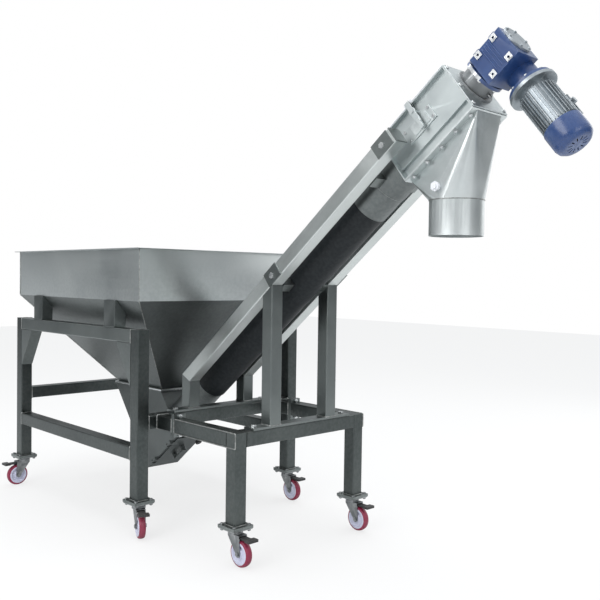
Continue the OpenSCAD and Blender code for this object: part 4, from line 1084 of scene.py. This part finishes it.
@dataclass
class Gearmotor:
    """The lantern, worm gearbox, finned motor, fan cover and terminal box."""

    shop: Workshop
    pad_reach: float = 0.0645
    top_pad_n: float = 0.0515
    rib_length: float = 0.104
    rib_half_width: float = 0.0032
    rib_height: float = 0.0030
    rib_places: tuple[float, ...] = (-0.018, -0.006, 0.006, 0.018)
    body_side: float = 0.061
    rib_middle_n: float = -0.012
    rib_points: tuple[int, int] = (25, 9)
    lantern_edge: float = 0.0015
    housing_edge: float = 0.003
    cover_edge: float = 0.0014
    fin_edge: float = 0.0006
    fan_cover_edge: float = 0.0008
    box_edge: float = 0.004
    bolt: float = 0.0065
    bolt_height: float = 0.0050
    # How far the bolt's top corner is cut back across and down
    bolt_chamfer: tuple[float, float] = (0.0009, 0.0008)
    # How far the middle of a bolt's or a washer's top stands above its rim
    crown: float = 0.0002
    washer_share: float = 1.25
    washer_sink: float = 0.0008
    washer_height: float = 0.0007
    washer_sides: int = 28
    # Bolt circles: radius, level along the circle's axis, and how many bolts
    motor_bolts: tuple[float, float, int] = (0.071, 0.126, 8)
    lantern_bolts: tuple[float, float, int] = (0.067, 1.785, 6)

    def pads(self, middles: np.ndarray) -> np.ndarray:
        """Face numbers of the housing: 1 on the machined tops of its pads, 0 on the enamel.

        Args:
            middles: The faces' middles.

        Returns:
            A number for each face.
        """
        local = self.shop.conveyor.local(middles)
        side = local[:, 0] < -self.pad_reach
        top = local[:, 1] > self.top_pad_n
        return (side | top).astype(int)

    def rib(self, place: Place) -> Grid:
        """A cast rib: height h (1 - v^4)(1 - u^10) over a long base, u along it and v across it.

        Args:
            place: Axes at the rib's middle, the third one outwards.

        Returns:
            The rib's closed grid.
        """
        u, v = np.meshgrid(*(np.linspace(-1, 1, count) for count in self.rib_points), indexing="ij")
        rise = self.rib_height * (1 - v ** 4) * (1 - u ** 10)
        over = np.stack([v * self.rib_half_width, u * self.rib_length / 2, rise], axis=2)
        under = over[:, ::-1] * (1, 1, -0.2)
        return place.put(np.concatenate([over, under], axis=1)), False, True

    @staticmethod
    def bolt_circle(place: Place, circle_sizes: tuple[float, float, int]) -> list[Place]:
        """Places for bolts that point back along the third axis, half a step round from the first.

        Args:
            place: Axes whose third one is the circle's.
            circle_sizes: The circle's radius, level and count.

        Returns:
            Axes for each bolt.
        """
        radius, level, count = circle_sizes
        turns = (np.arange(count) + 0.5) * 2 * math.pi / count
        return [place.shifted((radius * math.cos(turn), radius * math.sin(turn), level)).flipped()
                for turn in turns]

    def hex_heads(self, places: Sequence[Place]) -> list[Grid]:
        """Hexagon bolt heads with a chamfered top and a washer under each.

        Args:
            places: Axes for each bolt, the third one outwards.

        Returns:
            Two grids for each bolt.
        """
        rim = self.bolt * self.washer_share
        across, down = self.bolt_chamfer
        head = [(0.0, 0.0), (self.bolt, 0.0), (self.bolt, self.bolt_height - down),
                (self.bolt - across, self.bolt_height), (0.0, self.bolt_height + self.crown)]
        washer = [(0.0, -self.washer_sink), (rim, -self.washer_sink), (rim, self.washer_height),
                  (0.0, self.washer_height + self.crown)]
        grids = []
        for place in places:
            grids += [(lathe(head, place, 6), True, False),
                      (lathe(washer, place, self.washer_sides), True, False)]
        return grids

    def build(self) -> None:
        """Builds the drive."""
        self.shop.softened("drive_lantern", LANTERN_IRON, self.lantern_edge)
        self.shop.softened("gearbox_housing", BLUE_ENAMEL, self.housing_edge, paint=self.pads,
                           others=[MACHINED])
        self.shop.softened("gearbox_cover", CAST_ALUMINIUM, self.cover_edge)
        self.shop.softened("motor_frame", CAST_ALUMINIUM, self.fin_edge)
        self.shop.softened("fan_cover", BLUE_ENAMEL, self.fan_cover_edge)
        self.shop.softened("terminal_box", CAST_ALUMINIUM, self.box_edge)
        self.shop.keep("motor_rotor", TURNED_STEEL)
        self.shop.keep("cooling_fan", BLACK_PLASTIC)
        motor = self.shop.joints["rotor_spin"]
        drive = place_along(motor["pos_m"], motor["axis"])
        gear_s = self.shop.conveyor.local(motor["pos_m"])[2]
        conveyor = self.shop.conveyor
        sideways = Place(conveyor.origin, conveyor.axes[[2, 1, 0]] * [[1], [1], [-1]])
        ribs = [self.rib(sideways.shifted((gear_s + s, self.rib_middle_n, self.body_side)))
                for s in self.rib_places]
        self.shop.piece("gearbox_ribs", grid_mesh("gearbox_ribs", ribs, 60), "frame", "blue_paint",
                        BLUE_ENAMEL)
        heads = self.bolt_circle(drive, self.motor_bolts) + self.bolt_circle(conveyor, self.lantern_bolts)
        bolts = grid_mesh("gearmotor_bolts", self.hex_heads(heads))
        self.shop.piece("gearmotor_bolts", bolts, "frame", "zinc_hardware", BOLT_STEEL)


@dataclass
class Caster:
    """One braked swivel caster: its fork, its red tread on a white hub, and its pedal."""

    shop: Workshop
    site: str
    tread_depth: float = 0.011
    hub_dish: float = 0.006
    axle_radius: float = 0.010
    segments: int = 72
    fork_edge: float = 0.0007
    pedal_edge: float = 0.0016

    def build(self) -> None:
        """Builds the caster's pieces on its joints."""
        joint = self.shop.joints["roll_" + self.site]
        place = place_along(joint["pos_m"], joint["axis"], (0, 0, 1))
        wheel = "wheel_" + self.site
        x, y, across = place.local(mesh_points(self.shop.nodes[wheel].data)).T
        radius = np.hypot(x, y).max()
        half = abs(across).max()
        inner = radius - self.tread_depth
        tread = eased([(inner, -half + 0.003), (radius - 0.003, -half + 0.004), (radius, 0.0),
                       (radius - 0.003, half - 0.004), (inner, half - 0.003)], 0.006, 4)
        self.turned("caster_tread_" + self.site, tread, place, RED_TREAD, [wheel])
        width = half - 0.001
        side = [(inner + 0.0002, width - 0.001), (inner - 0.004, width), (inner - 0.008, width),
                (inner - 0.012, width - self.hub_dish), (0.022, width - self.hub_dish),
                (0.018, width - 0.001), (self.axle_radius, width)]
        hub = eased(side + [(r, -h) for r, h in reversed(side)], 0.0016, 3)
        self.turned("caster_hub_" + self.site, hub, place, WHITE_HUB, [])
        self.shop.softened("fork_" + self.site, ZINC, self.fork_edge)
        self.shop.softened("pedal_" + self.site, BLACK_PLASTIC, self.pedal_edge)

    def turned(self, name: str, profile: list[tuple[float, float]], place: Place, finish: Finish,
               replaces: Sequence[str]) -> None:
        """Adds a turned part of the wheel.

        Args:
            name: The piece's name.
            profile: Its section's points of radius and height, open between the last and the first.
            place: The wheel's axes.
            finish: Its finish.
            replaces: The CAD nodes it stands for.
        """
        wheel = "wheel_" + self.site
        mesh = grid_mesh(name, [(lathe(profile + [profile[0]], place, self.segments), True, False)])
        self.shop.piece(name, mesh, self.shop.body[wheel], self.shop.slots[wheel], finish, replaces)


# ---- Studio ----


@dataclass(frozen=True)
class Lamp:
    """A soft square light: where it is, its side in metres and its power in watts."""

    name: str
    point: tuple[float, float, float]
    size: float
    power: float

    def build(self, target: Vector) -> None:
        """Adds the light, aimed at a point."""
        data = bpy.data.lights.new(self.name, "AREA")
        data.shape = "SQUARE"
        data.size = self.size
        data.energy = self.power
        lamp = bpy.data.objects.new(self.name, data)
        lamp.location = self.point
        lamp.rotation_euler = (target - Vector(self.point)).to_track_quat("-Z", "Y").to_euler()
        bpy.context.scene.collection.objects.link(lamp)


@dataclass
class Studio:
    """A pale floor, soft lights and the camera."""

    camera_point: tuple[float, float, float] = (-2.2672, -2.6142, 1.1321)
    # Degrees: the tilt up from straight down, the roll, and the heading round from +Y
    camera_turn: tuple[float, float, float] = (88.4083, -0.8137, -43.6546)
    sensor: float = 36.0
    lens: float = 46.74
    floor_half: float = 14.0
    floor_points: int = 9
    floor_tone: Colour = (0.66, 0.665, 0.665, 1)
    floor_glow: float = 0.72
    low_sky: Colour = (0.10, 0.108, 0.112, 1)
    high_sky: Colour = (1.0, 1.03, 1.06, 1)
    high_sky_height: float = 0.8
    sky_strength: float = 1.15
    white: Colour = (1.0, 1.0, 1.0, 1)
    aim: tuple[float, float, float] = (0.0, 0.0, 0.9)
    lamps: tuple[Lamp, ...] = (
        Lamp("key", (-4.6, -0.4, 3.2), 3.0, 130.0),
        Lamp("front", (-1.2, -5.0, 2.6), 2.4, 45.0),
        Lamp("top", (0.3, 0.6, 5.2), 4.0, 150.0),
        Lamp("side", (4.2, -1.0, 2.4), 3.0, 40.0))

    def build(self) -> None:
        """Builds the studio."""
        self.floor()
        self.sky()
        for lamp in self.lamps:
            lamp.build(Vector(self.aim))
        self.camera()
        bpy.context.scene.view_settings.view_transform = "Standard"

    def floor(self) -> None:
        """A grey floor for bounced light, which the eye sees as nearly white."""
        along = np.linspace(-self.floor_half, self.floor_half, self.floor_points)
        x, y = np.meshgrid(along, along, indexing="ij")
        mesh = grid_mesh("studio_floor", [(np.stack([x, y, 0 * x], axis=2), False, False)])
        floor = bpy.data.objects.new("studio_floor", mesh)
        bpy.context.scene.collection.objects.link(floor)
        material = bpy.data.materials.new("pale_floor")
        material.use_nodes = True
        material.node_tree.nodes.clear()
        shader = Shader(material.node_tree)
        surface = shader.node("BsdfPrincipled", {"Base Color": self.floor_tone, "Roughness": 0.85})
        glow = shader.node("Emission", {"Color": self.white, "Strength": 1.0})
        share = shader.maths("MULTIPLY", shader.node("LightPath").outputs["Is Camera Ray"], self.floor_glow)
        both = shader.node("MixShader", {0: share, 1: surface.outputs[0], 2: glow.outputs[0]})
        shader.node("OutputMaterial", {0: both.outputs[0]})
        mesh.materials.append(material)

    def sky(self) -> None:
        """A white backdrop for the eye, and a softer grey gradient for light and reflections."""
        world = bpy.data.worlds.new("studio")
        world.use_nodes = True
        world.node_tree.nodes.clear()
        shader = Shader(world.node_tree)
        height = shader.node("SeparateXYZ", {0: shader.node("TexCoord").outputs["Generated"]}).outputs[2]
        share = shader.ranged(height, 0.0, self.high_sky_height, 0.0, 1.0)
        lit = shader.node("Background", {0: shader.mixed(share, self.low_sky, self.high_sky),
                                         1: self.sky_strength})
        seen = shader.node("Background", {0: self.white, 1: 1.0})
        ray = shader.node("LightPath").outputs["Is Camera Ray"]
        both = shader.node("MixShader", {0: ray, 1: lit.outputs[0], 2: seen.outputs[0]})
        shader.node("OutputWorld", {0: both.outputs[0]})
        bpy.context.scene.world = world

    def camera(self) -> None:
        """The camera, from its place and its three turns."""
        data = bpy.data.cameras.new("camera")
        data.lens = self.lens
        data.sensor_width = self.sensor
        camera = bpy.data.objects.new("camera", data)
        camera.location = self.camera_point
        camera.rotation_euler = [math.radians(turn) for turn in self.camera_turn]
        bpy.context.scene.collection.objects.link(camera)
        bpy.context.scene.camera = camera


def main() -> None:
    """Loads the model, builds the studio, and builds each sub-assembly in order."""
    logging.basicConfig(level=logging.INFO, format="%(name)s: %(message)s", stream=sys.stdout)
    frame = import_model()
    shop = Workshop(frame["nodes"], frame["record"])
    Studio().build()
    Chassis(shop).build()
    Hopper(shop).build()
    ScrewTube(shop).build()
    DischargeHead(shop).build()
    Gearmotor(shop).build()
    for site in SITES:
        Caster(shop, site).build()


if __name__ == "__main__":
    main()
